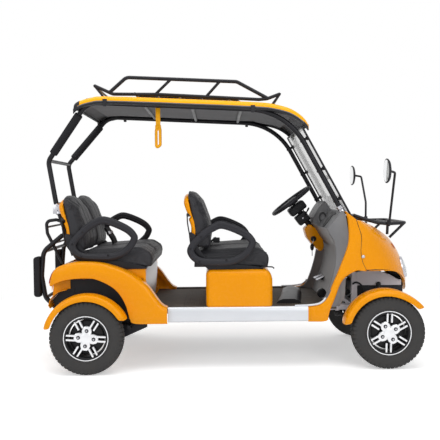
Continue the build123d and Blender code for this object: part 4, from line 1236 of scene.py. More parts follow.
carcass = [
    (0.1394, 0.0385), (0.141, 0.0425), (0.148, 0.0475), (0.160, 0.0510), (0.176, 0.0523), (0.190, 0.0515),
    (0.201, 0.0495), (0.210, 0.0465), (0.217, 0.0425), (0.2215, 0.0360), (0.2245, 0.018), (0.2255, 0.0),
]
carcass_loop = carcass + [(r, -y) for r, y in reversed(carcass[:-1])] + [(0.1275, -0.0385), (0.1275, 0.0385)]
shoulder_stations = ((0.2045, 0.0497), (0.2130, 0.0477), (0.2215, 0.0437), (0.2265, 0.0375), (0.2282, 0.0280))
inner_stations = ((0.2286, 0.0235), (0.2294, 0.0130), (0.2296, 0.0050))
pitches = 52
pitch_angle = 360 / pitches
wheel_places = [(f"{end}_{hand}", end, side, at(x, side * y, wheel_r))
                for side, hand in zip(SIDES, ("right", "left"))
                for end, x, y in (("front", front_hub_x, front_wheel_y), ("rear", rear_hub_x, rear_wheel_y))]
for name, end, side, hub in wheel_places:
    pitch = bmesh.new()
    for flip, shift in ((1, 0.0), (-1, 0.5)):
        start = shift * pitch_angle
        edges_out = [start, start + 0.36 * pitch_angle, start + 0.70 * pitch_angle]
        tread_block(pitch, edges_out, shoulder_stations, 0.006, flip)
        edges_in = [start + 0.2 * pitch_angle, start + 0.55 * pitch_angle, start + 0.92 * pitch_angle]
        tread_block(pitch, edges_in, inner_stations, 0.005, flip)
    faced_out(pitch)
    tyre = repeated(pitch, pitches, hub, tyre_black)
    ring_about_y(tyre, hub, carcass_loop)
    rim_line = [(0.150 + 0.0015 * cos(a), 0.0483 + 0.0012 * sin(a)) for a in np.linspace(0, tau, 7)[:-1]]
    for flip in (1, -1):
        ring_about_y(tyre, hub, [(r, flip * y) for r, y in rim_line], sides=80)
    faced_out(tyre)
    body = body_holding(f"tyre_{name}")
    dress(f"tyre_{name}_tread", tyre, tyre_black, body=body, node=f"tyre_{name}", sharp=50)

# %% [markdown]
# Each rim is a black dish with a machined face: a thin outer ring, six pairs of
# bars, and a flat hub with four nuts in dark recesses. A turned profile makes what
# is round, and one bar, arm or nut is repeated for the rest.

# %% Rims
spoke_lean = {"front": radians(2), "rear": radians(33)}
hub_lean = {"front": radians(-30), "rear": radians(7)}
nut_place = at(0, 0, 0.0475)
arm_outline = (
    (-0.0265, 0.010), (0.0265, 0.010), (0.0300, 0.046), (0.0235, 0.066),
    (0.0120, 0.0745), (-0.0120, 0.0745), (-0.0235, 0.066), (-0.0300, 0.046),
)


def wheel_slab(shape, outline, low, high, out, edge):
    """Adds a bevelled slab lying in the wheel's plane, from (x, z) points."""
    made = bmesh.new()
    add_capped(made, [[at(x, out * y, z) for x, z in outline] for y in (low, high)])
    sharp = [e for e in faced_out(made).edges if e.calc_face_angle(0) > 0.5]
    bmesh.ops.bevel(made, geom=sharp, offset=edge, segments=2, profile=0.5, affect="EDGES")
    absorb(shape, made)


def turned_y(shape, hub, out, profile, sides=72, closed=False):
    """Turns (radius, distance outwards) points round a hub's axis."""
    rows = [[hub + at(r * cos(a), out * y, r * sin(a)) for a in full_turn(sides)] for r, y in profile]
    if closed:
        add_grid(shape, rows, wrap_rows=True, wrap_columns=True)
    else:
        add_capped(shape, rows)


def leaned(shape, angle):
    """Turns a shape round the wheel's axis."""
    bmesh.ops.rotate(shape, verts=shape.verts, cent=(0, 0, 0), matrix=Matrix.Rotation(angle, 3, "Y"))
    return shape


for name, end, out, hub in wheel_places:
    body = body_holding(f"rim_{name}")
    dish = bmesh.new()
    barrel = (
        (0.1385, 0.0455), (0.1385, 0.0405), (0.1272, 0.0400), (0.1272, -0.0400), (0.1385, -0.0405),
        (0.1385, -0.0455), (0.1205, -0.0455), (0.1180, -0.0380), (0.1165, 0.0200), (0.1190, 0.0400),
        (0.1225, 0.0440), (0.1310, 0.0450),
    )
    turned_y(dish, hub, out, barrel, closed=True)
    turned_y(dish, hub, out, ((0.036, 0.030), (0.040, 0.012), (0.036, -0.022)), sides=40)
    drum = ((0.1, -0.030), (0.108, -0.028), (0.108, 0.004), (0.100, 0.008), (0.05, 0.008))
    turned_y(dish, hub, out, drum, sides=48)
    dress(f"rim_{name}_dish", mended(dish), pocket_black, body=body, node=f"rim_{name}")

    face, pair, cross_arm = bmesh.new(), bmesh.new(), bmesh.new()
    rim_lip = ((0.1325, 0.0420), (0.1335, 0.0462), (0.1385, 0.0466), (0.1394, 0.0440), (0.1394, 0.0405))
    turned_y(face, hub, out, rim_lip, sides=96, closed=True)
    for side0, side1 in ((0.0085, 0.0195), (-0.0195, -0.0085)):
        spoke = ((side0, 0.066), (side1, 0.066), (side1, 0.1355), (side0, 0.1355))
        wheel_slab(pair, spoke, 0.0280, 0.0440, out, 0.0016)
    absorb(face, repeated(leaned(pair, spoke_lean[end]), 6, hub, rim_alloy))
    wheel_slab(cross_arm, arm_outline, 0.022, 0.0405, out, 0.002)
    absorb(face, repeated(leaned(cross_arm, hub_lean[end]), 4, hub, rim_alloy))
    hub_cap = ((0.001, 0.0445), (0.030, 0.0442), (0.0335, 0.0425), (0.0345, 0.030))
    turned_y(face, hub, out, hub_cap, sides=48)
    dress(f"rim_{name}_face", faced_out(face), rim_alloy, body=body)

    well, nut = bmesh.new(), bmesh.new()
    well_rim = ((0.0115, 0.0395), (0.0120, 0.0412), (0.0100, 0.0412), (0.0096, 0.0395))
    turned_y(well, nut_place, out, well_rim, sides=24, closed=True)
    turned_y(well, nut_place, out, ((0.0005, 0.0409), (0.0098, 0.0409), (0.0098, 0.0390)), sides=24)
    nut_side = ((0.0068, 0.0400), (0.0068, 0.0470), (0.0050, 0.0500), (0.0010, 0.0512))
    turned_y(nut, nut_place, out, nut_side, sides=6)
    for kind, shape, finish, slot in (
        ("wells", well, pocket_black, "trim_black"), ("nuts", nut, bolt_steel, "rim_alloy")
    ):
        ring = repeated(faced_out(leaned(shape, hub_lean[end])), 4, hub, finish)
        dress(f"rim_{name}_{kind}", ring, finish, body=body)
print("wheels", len(wheel_places))

# %% [markdown]
# ## Seats
# Each bench is two cushions. A pad starts as a pillow a little smaller than its
# place, gets an even mesh, and is blown up as cloth under pressure, with no point
# moving further than a cap. The flutes, welts and the two humps come after that.

# %% Pads
bench_half = 0.397
rider_y, hump_reach = 0.200, 0.205
front_shift = at(0, 0, 0)
rear_shift = at(-0.745, 0, 0.008)
rear_arm_shift = at(-0.745, 0, 0.037)
back_foot = 0.788
rear_bench = Matrix.Translation(rear_shift)
rear_lean = Matrix.Translation((-0.798, 0, 0.772)) @ Matrix.Diagonal((1, 1, 0.982, 1))
rear_lean = rear_lean @ Matrix.Translation((0, 0, -back_foot))
bench_places = (("front", Matrix()), ("rear", rear_bench))
back_places = (("front", Matrix()), ("rear", rear_lean))


def outline_in(points, inset):
    """A closed side outline, in mm, drawn in by an inset in metres."""
    line = [Vector((x * MM, z * MM)) for x, z in points]
    area = sum(a.x * b.y - b.x * a.y for a, b in zip(line, line[1:] + line[:1]))
    turn = 1 if area > 0 else -1
    drawn = []
    for i, point in enumerate(line):
        along = (line[(i + 1) % len(line)] - line[i - 1]).normalized()
        drawn.append(point + Vector((-along.y, along.x)) * inset * turn)
    return drawn


def fine_outline(points, bend):
    """A side outline in mm with its corners rounded, as many points."""
    line = rounded(side_run(points), bend, steps=5, closed=True)
    fine = []
    for a, b in zip(line, line[1:] + line[:1]):
        pieces = max(1, round((b - a).length / 0.02))
        fine += [a.lerp(b, k / pieces) for k in range(pieces)]
    return [(p.x / MM, p.z / MM) for p in fine]


def pillow(points, half, round_r, inset):
    """A closed pillow: a side outline, drawn in towards both ends."""
    shape = bmesh.new()
    stations = [half - inset - round_r * (1 - cos(a)) for a in np.linspace(0, pi / 2, 6)]
    draws = [inset + round_r * (1 - sin(a)) for a in np.linspace(0, pi / 2, 6)]
    steps = list(zip(stations, draws))
    steps = [(-y, d) for y, d in steps] + steps[::-1]
    rows = [[at(p.x, y, p.y) for p in outline_in(points, d)] for y, d in steps]
    add_capped(shape, rows)
    return mended(shape)


def spots(mesh):
    """The places and normals of a mesh's points, as arrays."""
    places = np.empty(len(mesh.vertices) * 3)
    normals = np.empty(len(mesh.vertices) * 3)
    mesh.vertices.foreach_get("co", places)
    mesh.vertices.foreach_get("normal", normals)
    return places.reshape(-1, 3), normals.reshape(-1, 3)


def blown_up(shape, held, cap, pressure=4.0, frames=20):
    """A pad blown up as cloth; held says which points stay."""
    pad = linked("pad", as_mesh(shape, "pad"))
    remesh = pad.modifiers.new("even", "REMESH")
    remesh.mode = "VOXEL"
    remesh.voxel_size = 0.008
    bake(pad)
    start, normals = spots(pad.data)
    group = pad.vertex_groups.new(name="held")
    group.add([int(i) for i in np.flatnonzero(held(start, normals))], 1.0, "REPLACE")
    cloth = pad.modifiers.new("cloth", "CLOTH")
    cloth.settings.use_pressure = True
    cloth.settings.uniform_pressure_force = pressure
    cloth.settings.effector_weights.gravity = 0
    cloth.settings.vertex_group_mass = "held"
    cloth.collision_settings.use_collision = False
    scene = bpy.context.scene
    for step in range(1, frames + 1):
        scene.frame_set(step)
    bake(pad)
    scene.frame_set(1)
    moved = spots(pad.data)[0] - start
    reach = np.maximum(np.linalg.norm(moved, axis=1), 1e-9)[:, None]
    moved *= np.minimum(1.0, cap / reach)
    largest = round(float(reach.max()) / MM)
    print("pad", len(start), "points, moved up to", largest, "mm, capped at", cap / MM)
    pad.data.vertices.foreach_set("co", (start + moved).ravel())
    pad.data.update()
    smooth = pad.modifiers.new("smooth", "SUBSURF")
    smooth.levels = smooth.render_levels = 1
    bake(pad)
    mesh = pad.data
    bpy.data.objects.remove(pad)
    return mesh


def smooth_share(values, low, high):
    """0 below low, 1 above high, and a smooth step between."""
    share = np.clip((values - low) / (high - low), 0, 1)
    return share * share * (3 - 2 * share)


def fluted(y, depth):
    """How deep a bench sinks at a place across it: three flutes a rider."""
    from_middle = np.abs(np.abs(y) - rider_y)
    pitch = 0.096
    across_flute = np.abs((from_middle / pitch + 0.5) % 1.0 - 0.5) * 2
    swell = np.sqrt(np.clip(1 - across_flute**4, 0, 1))
    inside = smooth_share(0.150 - from_middle, 0, 0.006)
    return depth * (swell - 1) * inside


def fit_between(places, low, high):
    """Stretches places a little so that they fill a box exactly."""
    now_low, now_high = places.min(axis=0), places.max(axis=0)
    return np.array(low) + (places - now_low) / (now_high - now_low) * (np.array(high) - np.array(low))


def set_places(mesh, places):
    """Puts an array of places back in a mesh."""
    mesh.vertices.foreach_set("co", places.ravel())
    mesh.update()


def welt(shape, tree, line, out, radius=0.0024):
    """Sews a thin round welt along a line, laid on the surface of a pad."""
    laid = []
    for point in line:
        hit, normal, index, gap = tree.ray_cast(point + out * 0.08, -out, 0.2)
        if hit is not None:
            laid.append(hit + out * radius * 0.35)
    if len(laid) > 2:
        add_tube(shape, laid, radius, sides=8)


# %% [markdown]
# The cushion is flat underneath and stays flat there. The seat back leans, its
# rear face is held by the shell, and its top dips between the two humps.

# %% Cushions and backs
def seam_height(x):
    """Height of the cushion's side seam at a place along it."""
    return 0.713 + (x + 0.127) * 0.042


cushion_outline = fine_outline(
    ((-196, 643), (262, 643), (284, 684), (274, 738), (214, 768), (60, 762), (-120, 750), (-196, 752)),
    [0.012, 0.02, 0.05, 0.05, 0.06, 0.2, 0.2, 0.03],
)
back_outline = fine_outline(
    ((-186, 792), (-94, 788), (-84, 832), (-104, 940), (-158, 1088), (-194, 1122), (-229, 1110), (-204, 930)),
    [0.012, 0.02, 0.06, 0.2, 0.05, 0.03, 0.015, 0.3],
)
cushion_mesh = blown_up(pillow(cushion_outline, 0.403, 0.028, 0.008), lambda p, n: p[:, 2] < 0.656, 0.014)
places, normals = spots(cushion_mesh)
places = fit_between(places, (-0.197, -bench_half - 0.008, 0.6405), (0.282, bench_half + 0.008, 0.765))
top = smooth_share(normals[:, 2], 0.1, 0.45) + smooth_share(normals[:, 0], 0.3, 0.7) * (places[:, 2] > 0.70)
top = np.clip(top, 0, 1) * smooth_share(places[:, 0], -0.180, -0.160)
places += normals * (fluted(places[:, 1], 0.005) * top)[:, None]
valley = np.exp(-((places[:, 1] / 0.022) ** 2)) * smooth_share(normals[:, 2], 0.1, 0.5)
places[:, 2] -= 0.010 * valley
below_seam = places[:, 2] - seam_height(places[:, 0])
flank = smooth_share(1 - np.abs(normals[:, 2]), 0.3, 0.6)
places -= normals * (0.0035 * np.exp(-((below_seam / 0.005) ** 2)) * flank)[:, None]
set_places(cushion_mesh, places)

back_mesh = blown_up(
    pillow(back_outline, 0.403, 0.026, 0.007),
    lambda p, n: (n[:, 0] < -0.6) | (p[:, 2] < 0.80), 0.010,
)
places, normals = spots(back_mesh)
places = fit_between(places, (-0.230, -bench_half - 0.008, 0.768), (-0.083, bench_half + 0.008, 1.130))
hump = np.minimum(1.0, np.abs(np.abs(places[:, 1]) - rider_y) / hump_reach)
places[:, 2] -= 0.046 * hump**3 * smooth_share(places[:, 2], 0.90, 1.10)
front = smooth_share(normals[:, 0], 0.25, 0.6) * smooth_share(places[:, 2], 0.80, 0.83)
places += normals * (fluted(places[:, 1], 0.005) * front)[:, None]
valley = np.exp(-((places[:, 1] / 0.020) ** 2)) * smooth_share(normals[:, 0], -0.2, 0.4)
places[:, 0] -= 0.016 * valley
back_front = np.interp(places[:, 2], [0.79, 0.83, 0.94, 1.09, 1.12], [-0.094, -0.084, -0.104, -0.158, -0.19])
ends = smooth_share(np.abs(normals[:, 1]), 0.4, 0.8)
places -= normals * (0.0035 * np.exp(-(((places[:, 0] - back_front + 0.024) / 0.005) ** 2)) * ends)[:, None]
set_places(back_mesh, places)

cushion_seam = [at(x, 0, seam_height(x)) for x in np.linspace(-0.185, 0.262, 30)]
front_seam = [at(0.2, y, 0.729) for y in np.linspace(-0.378, 0.378, 60)]
back_seam = run_through(((-112, 812), (-109, 840), (-122, 900), (-134, 960), (-156, 1030), (-172, 1080)), 6)
welts = bmesh.new()
for kind, mesh, seats, seam in (
    ("cushion", cushion_mesh, bench_places, cushion_seam), ("back", back_mesh, back_places, back_seam)
):
    shape = bmesh.new()
    shape.from_mesh(mesh)
    tree = BVHTree.FromBMesh(shape)
    shape.free()
    for row, place in seats:
        pad = mesh if row == "front" else mesh.copy()
        pad.transform(place)
        piece = dress(f"seat_{kind}_{row}", pad, seat_vinyl, node=f"seat_{kind}s")
        sewn = bmesh.new()
        for side in SIDES:
            welt(sewn, tree, seam, at(0, side, 0))
        if kind == "cushion":
            welt(sewn, tree, front_seam, at(1, 0, 0))
        bmesh.ops.transform(sewn, matrix=place, verts=sewn.verts)
        absorb(welts, sewn)
    print("pad", kind, len(mesh.polygons), "faces")
dress("seat_welts", welts, seat_vinyl)

# %% [markdown]
# The shells are orange mouldings that cup the seat backs from behind, with a
# finger groove across. The armrests are flattened, ribbed loops of black plastic,
# bolted to brackets that come up from the seat pans.

# %% Shells, armrests and brackets
def hump_drop(y, z):
    """How far a hump's top has come down at a place across it, near a height."""
    share = min(1.0, abs(abs(y) - rider_y) / hump_reach)
    rise = min(1.0, max(0.0, (z - 0.90) / 0.20))
    return 0.046 * share**3 * rise * rise * (3 - 2 * rise)


shell_outer = run_through((
    (-196, 806), (-214, 850), (-214, 897), (-226, 940), (-228, 955), (-219, 966), (-219, 982), (-233, 992),
    (-244, 1018), (-256, 1060), (-259, 1084), (-254, 1101), (-240, 1110), (-229, 1108),
), 3)
shell_inner = run_through(((-229, 1106), (-210, 1004), (-193, 930), (-187, 880), (-186, 806)), 8)
shells = bmesh.new()
for row, place in back_places:
    rows = []
    for y in np.concatenate((
        np.linspace(-0.403, -0.36, 6), np.linspace(-0.33, 0.33, 31), np.linspace(0.36, 0.403, 6)
    )):
        tuck = max(0.0, (abs(y) - 0.36) / 0.043)
        ring = []
        for point in shell_outer + shell_inner:
            inside = np.interp(
                point.z, [0.806, 0.88, 0.93, 1.004, 1.106], [-0.186, -0.187, -0.193, -0.210, -0.229]
            )
            x = inside + (point.x - inside) * sqrt(max(0.05, 1 - tuck**2.5))
            ring.append(place @ at(x, y, point.z - hump_drop(y, point.z)))
        rows.append(ring)
    add_capped(shells, rows)
dress("seat_shell_skins", mended(shells), body_orange, node="seat_shells")

arm_y = 0.432
arm_line = (
    (-216, 744), (-206, 778), (-174, 816), (-120, 864), (-72, 893), (-28, 909), (25, 899), (97, 869),
    (145, 840), (174, 806), (169, 779), (147, 743), (105, 707), (52, 684), (-1, 676), (-74, 677),
    (-146, 683), (-192, 705),
)
arm_section = []
for angle in full_turn(40):
    rib = 1 - 0.07 * (cos(angle * 8) > 0.1) * (abs(cos(angle)) < 0.9)
    arm_section.append((0.0225 * rib * cos(angle), 0.0150 * rib * sin(angle)))


def add_loop(shape, line, section):
    """Adds a closed band along a loop drawn in side view; the section is (outward, across)."""
    rows = []
    for i, point in enumerate(line):
        along = (line[(i + 1) % len(line)] - line[i - 1]).normalized()
        outward = at(along.z, 0, -along.x)
        rows.append([point + outward * out + at(0, aside, 0) for out, aside in section])
    add_grid(shape, rows, wrap_rows=True, wrap_columns=True)


bolt_head = ((0.0075, 0.0), (0.0075, 0.0015), (0.006, 0.0032), (0.003, 0.0036))
loops, arm_bolts = bmesh.new(), bmesh.new()
for shift in (front_shift, rear_arm_shift):
    for side in SIDES:
        line = smooth_line([p + shift for p in side_run(arm_line, side * arm_y)], 5, closed=True)
        add_loop(loops, line, arm_section)
        pad = [p + at(0, 0, 0.012) for p in line[12:46]]
        add_tube(loops, pad, 0.0165, sides=16, squash=0.9)
        for place in side_run(((-150, 838), (-216, 764), (-160, 683), (10, 691)), side * (arm_y + 0.0135)):
            add_turned(arm_bolts, place + shift, (0, side, 0), bolt_head, 16)
dress("armrest_loops", mended(loops), grip_vinyl, node="armrests", sharp=55)
dress("armrest_bolts", mended(arm_bolts), frame_black)

brackets = bmesh.new()
front_plate = (
    (-120, 640), (-104, 627), (236, 627), (246, 640), (60, 662), (-60, 664), (-118, 690), (-170, 770),
    (-186, 850), (-214, 868), (-228, 860), (-222, 800), (-196, 720),
)
rear_plate = (
    (-882, 650), (-862, 636), (-509, 636), (-499, 648), (-660, 690), (-830, 700), (-905, 770), (-955, 850),
    (-1002, 865), (-1014, 852), (-1002, 780), (-946, 700),
)
bolts = ((-206, 770), (-30, 676), (60, 684))
for shift, arm_shift, outline in (
    (front_shift, front_shift, front_plate), (rear_shift, rear_arm_shift, rear_plate)
):
    for side in SIDES:
        low, high = sorted((side * 0.4085, side * 0.4135))
        add_plate(brackets, [(x * MM, z * MM) for x, z in outline], low, high, edge=0.0015)
        for place in side_run(bolts, side * 0.4130):
            start = place + arm_shift
            add_rod(brackets, start, start + at(0, side * 0.006, 0), 0.011)
    pan_x = (-0.106 + shift.x, 0.246 + shift.x)
    add_block(brackets, pan_x, (-0.408, 0.408), (0.627 + shift.z, 0.6395 + shift.z), 0.003)
dress("seat_brackets", brackets, frame_black, node="seat_frames")

# %% [markdown]
# Each rider has a lap belt: a webbing stalk comes up from the crease of the seat,
# with a steel tongue on the rear bench and a black block on the front one, and a
# strap runs down behind the shell to its anchor.

# %% Seat belts
def add_strap(shape, line, width, thick, wide_along):
    """Adds a flat strap along a line; wide_along is the direction of its width."""
    rows = []
    wide = Vector(wide_along).normalized() * width / 2
    for i, point in enumerate(line):
        before, after = line[max(0, i - 1)], line[min(len(line) - 1, i + 1)]
        flat = (after - before).normalized().cross(wide.normalized()) * thick / 2
        rows.append([point + wide + flat, point - wide + flat, point - wide - flat, point + wide - flat])
    add_capped(shape, rows)


belts, tongues = bmesh.new(), bmesh.new()
strap_line = ((-238, 985), (-237, 930), (-228, 870), (-216, 800))
for row, place in back_places:
    shift = front_shift if row == "front" else rear_shift
    for side in SIDES:
        if row == "rear":
            wide = (0.5, side * 0.8, 0.4)
            stalk = side_run(((-762, 770), (-775, 805), (-798, 842), (-822, 882)), side * 0.045)
            clip, along = stalk[2], (stalk[3] - stalk[2]).normalized() * 0.010
            add_strap(belts, smooth_line(stalk, 4), 0.030, 0.008, wide)
            add_strap(tongues, [clip - along, clip + along], 0.036, 0.012, wide)
        else:
            stalk = [p + shift for p in side_run(((-92, 776), (-60, 800), (-40, 770)), side * 0.045)]
            add_strap(belts, smooth_line(stalk, 4), 0.030, 0.008, (0, 1, 0))
            add_block(belts, (-0.078, -0.030), sorted((side * 0.03, side * 0.06)), (0.772, 0.800), 0.005)
        strap = [place @ p for p in side_run(strap_line, side * 0.372)]
        add_strap(belts, smooth_line(strap, 5), 0.042, 0.006, (0, 1, 0))
        guide = place @ at(-0.226, side * 0.372, 0.975)
        add_block(
            belts, (guide.x - 0.016, guide.x + 0.008), (guide.y - 0.026, guide.y + 0.026),
            (guide.z - 0.010, guide.z + 0.010), 0.004,
        )
dress("seat_belts", mended(belts), belt_black)
dress("belt_tongues", mended(tongues), clamp_silver)

# %% [markdown]
# ## Front seat box, sills and floor
# The front bench stands on an orange box with soft corners. A bright sill runs
# along each side, and its edge sweeps up round the foot of the leg shield.

# %% Seat box, sills and floor
def soft_box(low, high, round_r, swell, cells=28):
    """A closed box with rounded corners whose faces swell a little."""
    shape = bmesh.new()
    bmesh.ops.create_cube(shape, size=2.0)
    bmesh.ops.subdivide_edges(shape, edges=shape.edges[:], cuts=cells, use_grid_fill=True)
    low, high = Vector(low), Vector(high)
    middle, half = (low + high) / 2, (high - low) / 2
    for vert in shape.verts:
        place = Vector([sin(vert.co[i] * pi / 2) * half[i] for i in range(3)])
        core = Vector([max(-half[i] + round_r, min(half[i] - round_r, place[i])) for i in range(3)])
        away = place - core
        if away.length > 1e-9:
            away = away.normalized() * round_r
        lift = Vector([
            swell * (1 if vert.co[i] > 0 else -1) * (abs(vert.co[i]) > 0.999)
            * cos(vert.co[(i + 1) % 3] * pi / 2) * cos(vert.co[(i + 2) % 3] * pi / 2)
            for i in range(3)
        ])
        vert.co = middle + core + away + lift
    return shape


seat_box = soft_box((-0.120, -0.447, 0.372), (0.300, 0.447, 0.627), 0.034, 0.004)
for vert in seat_box.verts:
    fore = max(0.0, (vert.co.z - 0.560) / 0.067) * max(0.0, (vert.co.x - 0.20) / 0.10)
    vert.co.x -= 0.022 * fore**1.5
    vert.co.z = max(vert.co.z, 0.3845)
dress("front_seat_box_skin", mended(seat_box), body_orange, node="front_seat_box")

lever = bmesh.new()
lever_line = metres(((225, -428, 640), (262, -430, 645), (300, -430, 643), (311, -430, 633)))
add_tube(lever, rounded(lever_line, 0.008), 0.0042, sides=12)
dress("seat_lever", lever, trim_black)

sills = bmesh.new()
sill_low, sill_high, sill_out, sill_in = 0.302, 0.394, 0.470, 0.438
sill_section = (
    (sill_in, sill_low), (sill_out - 0.010, sill_low), (sill_out - 0.002, sill_low + 0.006),
    (sill_out, sill_low + 0.020), (sill_out, sill_high - 0.030), (sill_out - 0.0015, sill_high - 0.018),
    (sill_out - 0.006, sill_high - 0.006), (sill_out - 0.012, sill_high), (sill_in, sill_high),
)
for side in SIDES:
    add_capped(sills, [[at(x, side * y, z) for y, z in sill_section] for x in np.linspace(-0.362, 0.521, 30)])
    trim = smooth_line(metres((
        (440, side * 440, 396), (530, side * 440, 399), (590, side * 440, 408), (618, side * 439, 424),
        (636, side * 438, 446),
    )), 6)
    add_tube(sills, trim, 0.0065, sides=10)
dress("sill_covers", mended(sills), sill_silver, node="sills")

mat_shape = bmesh.new()
add_block(mat_shape, (-0.498, 0.705), (-0.4375, 0.4375), (0.373, 0.3838), 0.002)
for x in (*np.arange(-0.27, -0.13, 0.016), *np.arange(0.33, 0.52, 0.016)):
    add_block(mat_shape, (x - 0.003, x + 0.003), (-0.40, 0.40), (0.3832, 0.3862), 0.001)
for side in SIDES:
    low, high = sorted((side * 0.4300, side * 0.4375))
    add_block(mat_shape, (-0.362, 0.521), (low, high), (0.383, 0.394), 0.002)
dress("floor_mat", mat_shape, floor_brown, node="floor_pan")

# %% [markdown]
# ## Dash and steering
# The dash is one grey moulding. Its side profile changes across the cart: a hood
# stands up in front of the driver, and the passenger's side lies lower. At both
# ends the toe board has a raised lip.

# %% Dash panel
driver_y = 0.200
dash_half = 0.4285
low_face = metres((
    (612, 0, 386), (664, 0, 520), (696, 0, 640), (704, 0, 720), (690, 0, 800), (653, 0, 868), (656, 0, 888),
    (684, 0, 925), (712, 0, 958), (730, 0, 984), (744, 0, 994), (756, 0, 986),
))
high_face = metres((
    (612, 0, 386), (664, 0, 520), (696, 0, 640), (704, 0, 720), (690, 0, 800), (650, 0, 866), (631, 0, 893),
    (638, 0, 942), (674, 0, 1005), (702, 0, 1040), (720, 0, 1046), (752, 0, 988),
))
dash_back = metres(((768, 0, 960), (789, 0, 828), (776, 0, 702), (766, 0, 560), (759, 0, 450), (726, 0, 386)))


def dash_face(y):
    """The dash's face at a place across: a line of points from the toe board up."""
    hood = min(1.0, max(0.0, (0.200 - abs(y - driver_y)) / 0.060))
    hood = hood * hood * (3 - 2 * hood)
    lip = min(1.0, max(0.0, (0.400 - abs(y)) / 0.030))
    line = []
    for low, high in zip(low_face, high_face):
        point = low.lerp(high, hood)
        deep = 0.055 * lip * min(1.0, max(0.0, (0.80 - point.z) / 0.10))
        line.append(at(point.x + deep, y, point.z))
    return smooth_line(line, 4)


dash_skin = bmesh.new()
toe_side = (
    (0.556, 0.386), (0.604, 0.404), (0.640, 0.440), (0.668, 0.496), (0.716, 0.520), (0.730, 0.450),
    (0.706, 0.386),
)
for side in SIDES:
    add_plate(dash_skin, toe_side, *sorted((side * 0.398, side * 0.439)), edge=0.002)
rows = []
end_insets = [(dash_half, 0.007), (0.4270, 0.002), (0.4235, 0.0)]
middle_insets = [(y, 0.0) for y in np.linspace(-0.40, 0.40, 41)]
for y, inset in [(-y, d) for y, d in end_insets] + middle_insets + end_insets[::-1]:
    loop = dash_face(y) + [at(p.x, y, p.z) for p in dash_back]
    drawn = outline_in([(p.x / MM, p.z / MM) for p in loop], inset)
    rows.append([at(p.x, y, p.y) for p in drawn])
add_capped(dash_skin, rows)
dress("dash_skin", mended(dash_skin), dash_grey, node="dash_panel")


def on_dash(y, z, lift):
    """A point of the dash's face at a place across and a height, lifted off it."""
    line = dash_face(y)[20:]
    share = np.interp(z, [p.z for p in line[:24]], range(24))
    low, high = line[int(share)], line[min(23, int(share) + 1)]
    point = low.lerp(high, share % 1)
    along = (high - low).normalized() if high != low else at(0.5, 0, 0.8)
    return point + at(-along.z, 0, along.x) * lift


def dash_patch(shape, y, z, half_y, half_z, lift, slant=0.0):
    """Adds an oval disc that lies on the dash's face."""
    rings = []
    for scale, height in ((1.0, -0.002), (1.0, lift), (0.82, lift), (0.55, lift), (0.2, lift)):
        ring = []
        for angle in full_turn(36):
            up = half_z * scale * sin(angle)
            ring.append(on_dash(y + half_y * scale * cos(angle) + slant * up, z + up, height))
        rings.append(ring)
    verts = add_grid(shape, rings, wrap_columns=True)
    shape.faces.new(verts[-1])
    shape.faces.new(reversed(verts[0]))


# The black ovals laid on the dash's face and the black floor of the round dish are painted shade: they stand
# in for the dark inside of recesses and slots that are not cut into the dash.
pocket_shade, rim = bmesh.new(), bmesh.new()
dash_patch(pocket_shade, -0.232, 0.925, 0.050, 0.044, 0.003, slant=0.3)
dash_patch(pocket_shade, -0.232, 0.972, 0.090, 0.012, 0.003)
dash_patch(pocket_shade, 0.385, 0.925, 0.020, 0.030, 0.002)
dish_parts = (
    (rim, ((1, -0.5), (1, 0.10), (0.94, 0.16), (0.84, 0.12), (0.80, -0.3))),
    (pocket_shade, ((0.82, -0.4), (0.82, 0.06), (0.4, 0.02), (0.02, 0.02))),
    (rim, ((0.50, -0.2), (0.50, 0.09), (0.42, 0.11), (0.34, 0.03))),
)
toward = at(-0.50, -0.85, 0.14).to_track_quat("Z", "Y").to_matrix().to_4x4()
dish_frame = Matrix.Translation((0.683, -0.040, 0.938)) @ toward @ Matrix.Diagonal((0.033, 0.044, 0.05, 1))
for shape, profile in dish_parts:
    dish = bmesh.new()
    add_turned(dish, (0, 0, 0), (0, 0, 1), profile, 40)
    dish.transform(dish_frame)
    absorb(shape, dish)
dress("dash_pocket_shade", mended(pocket_shade), pocket_black)
dress("dash_pocket_rims", mended(rim), dash_grey)

# %% [markdown]
# The steering parts are drawn in the column's own frame: Z runs up the column,
# X lies across it and Y across the cart. One matrix carries them to their place.

# %% Steering wheel and column
wheel_centre = at(0.492, driver_y, 1.052)
column_rake = radians(36.7)
column_frame = Matrix.Translation(wheel_centre) @ Matrix.Rotation(-column_rake, 4, "Y")
ring_r, grip_r = 0.156, 0.0140
wheel_shape, pad_shape, column_shape = bmesh.new(), bmesh.new(), bmesh.new()
ring_path = [(ring_r * cos(a), ring_r * sin(a), 0) for a in full_turn(96)]
add_tube(wheel_shape, ring_path, grip_r, sides=18, closed=True)
for spoke in range(3):
    arm = bmesh.new()
    outline = (
        (0.030, -0.022), (0.090, -0.016), (0.150, -0.019), (0.150, 0.019), (0.090, 0.016), (0.030, 0.022)
    )
    add_plate(arm, outline, -0.010, 0.001, 0.004, plane="XY")
    arm.transform(Matrix.Rotation(tau * spoke / 3, 4, "Z"))
    absorb(wheel_shape, arm)
hub = (
    (0.040, -0.030), (0.046, -0.024), (0.048, -0.004), (0.045, 0.004), (0.036, 0.008), (0.018, 0.010),
    (0.001, 0.0105),
)
add_turned(pad_shape, (0, 0, 0), (0, 0, 1), hub, 40)
add_rod(pad_shape, (0, 0, -0.028), (0, 0, -0.070), 0.0108)
for shape, name, finish in (
    (wheel_shape, "steering_wheel_rim", grip_vinyl), (pad_shape, "steering_wheel_pad", trim_black)
):
    mended(shape).transform(column_frame)
    node = "steering_wheel" if shape is wheel_shape else None
    dress(name, shape, finish, body="steering", node=node)

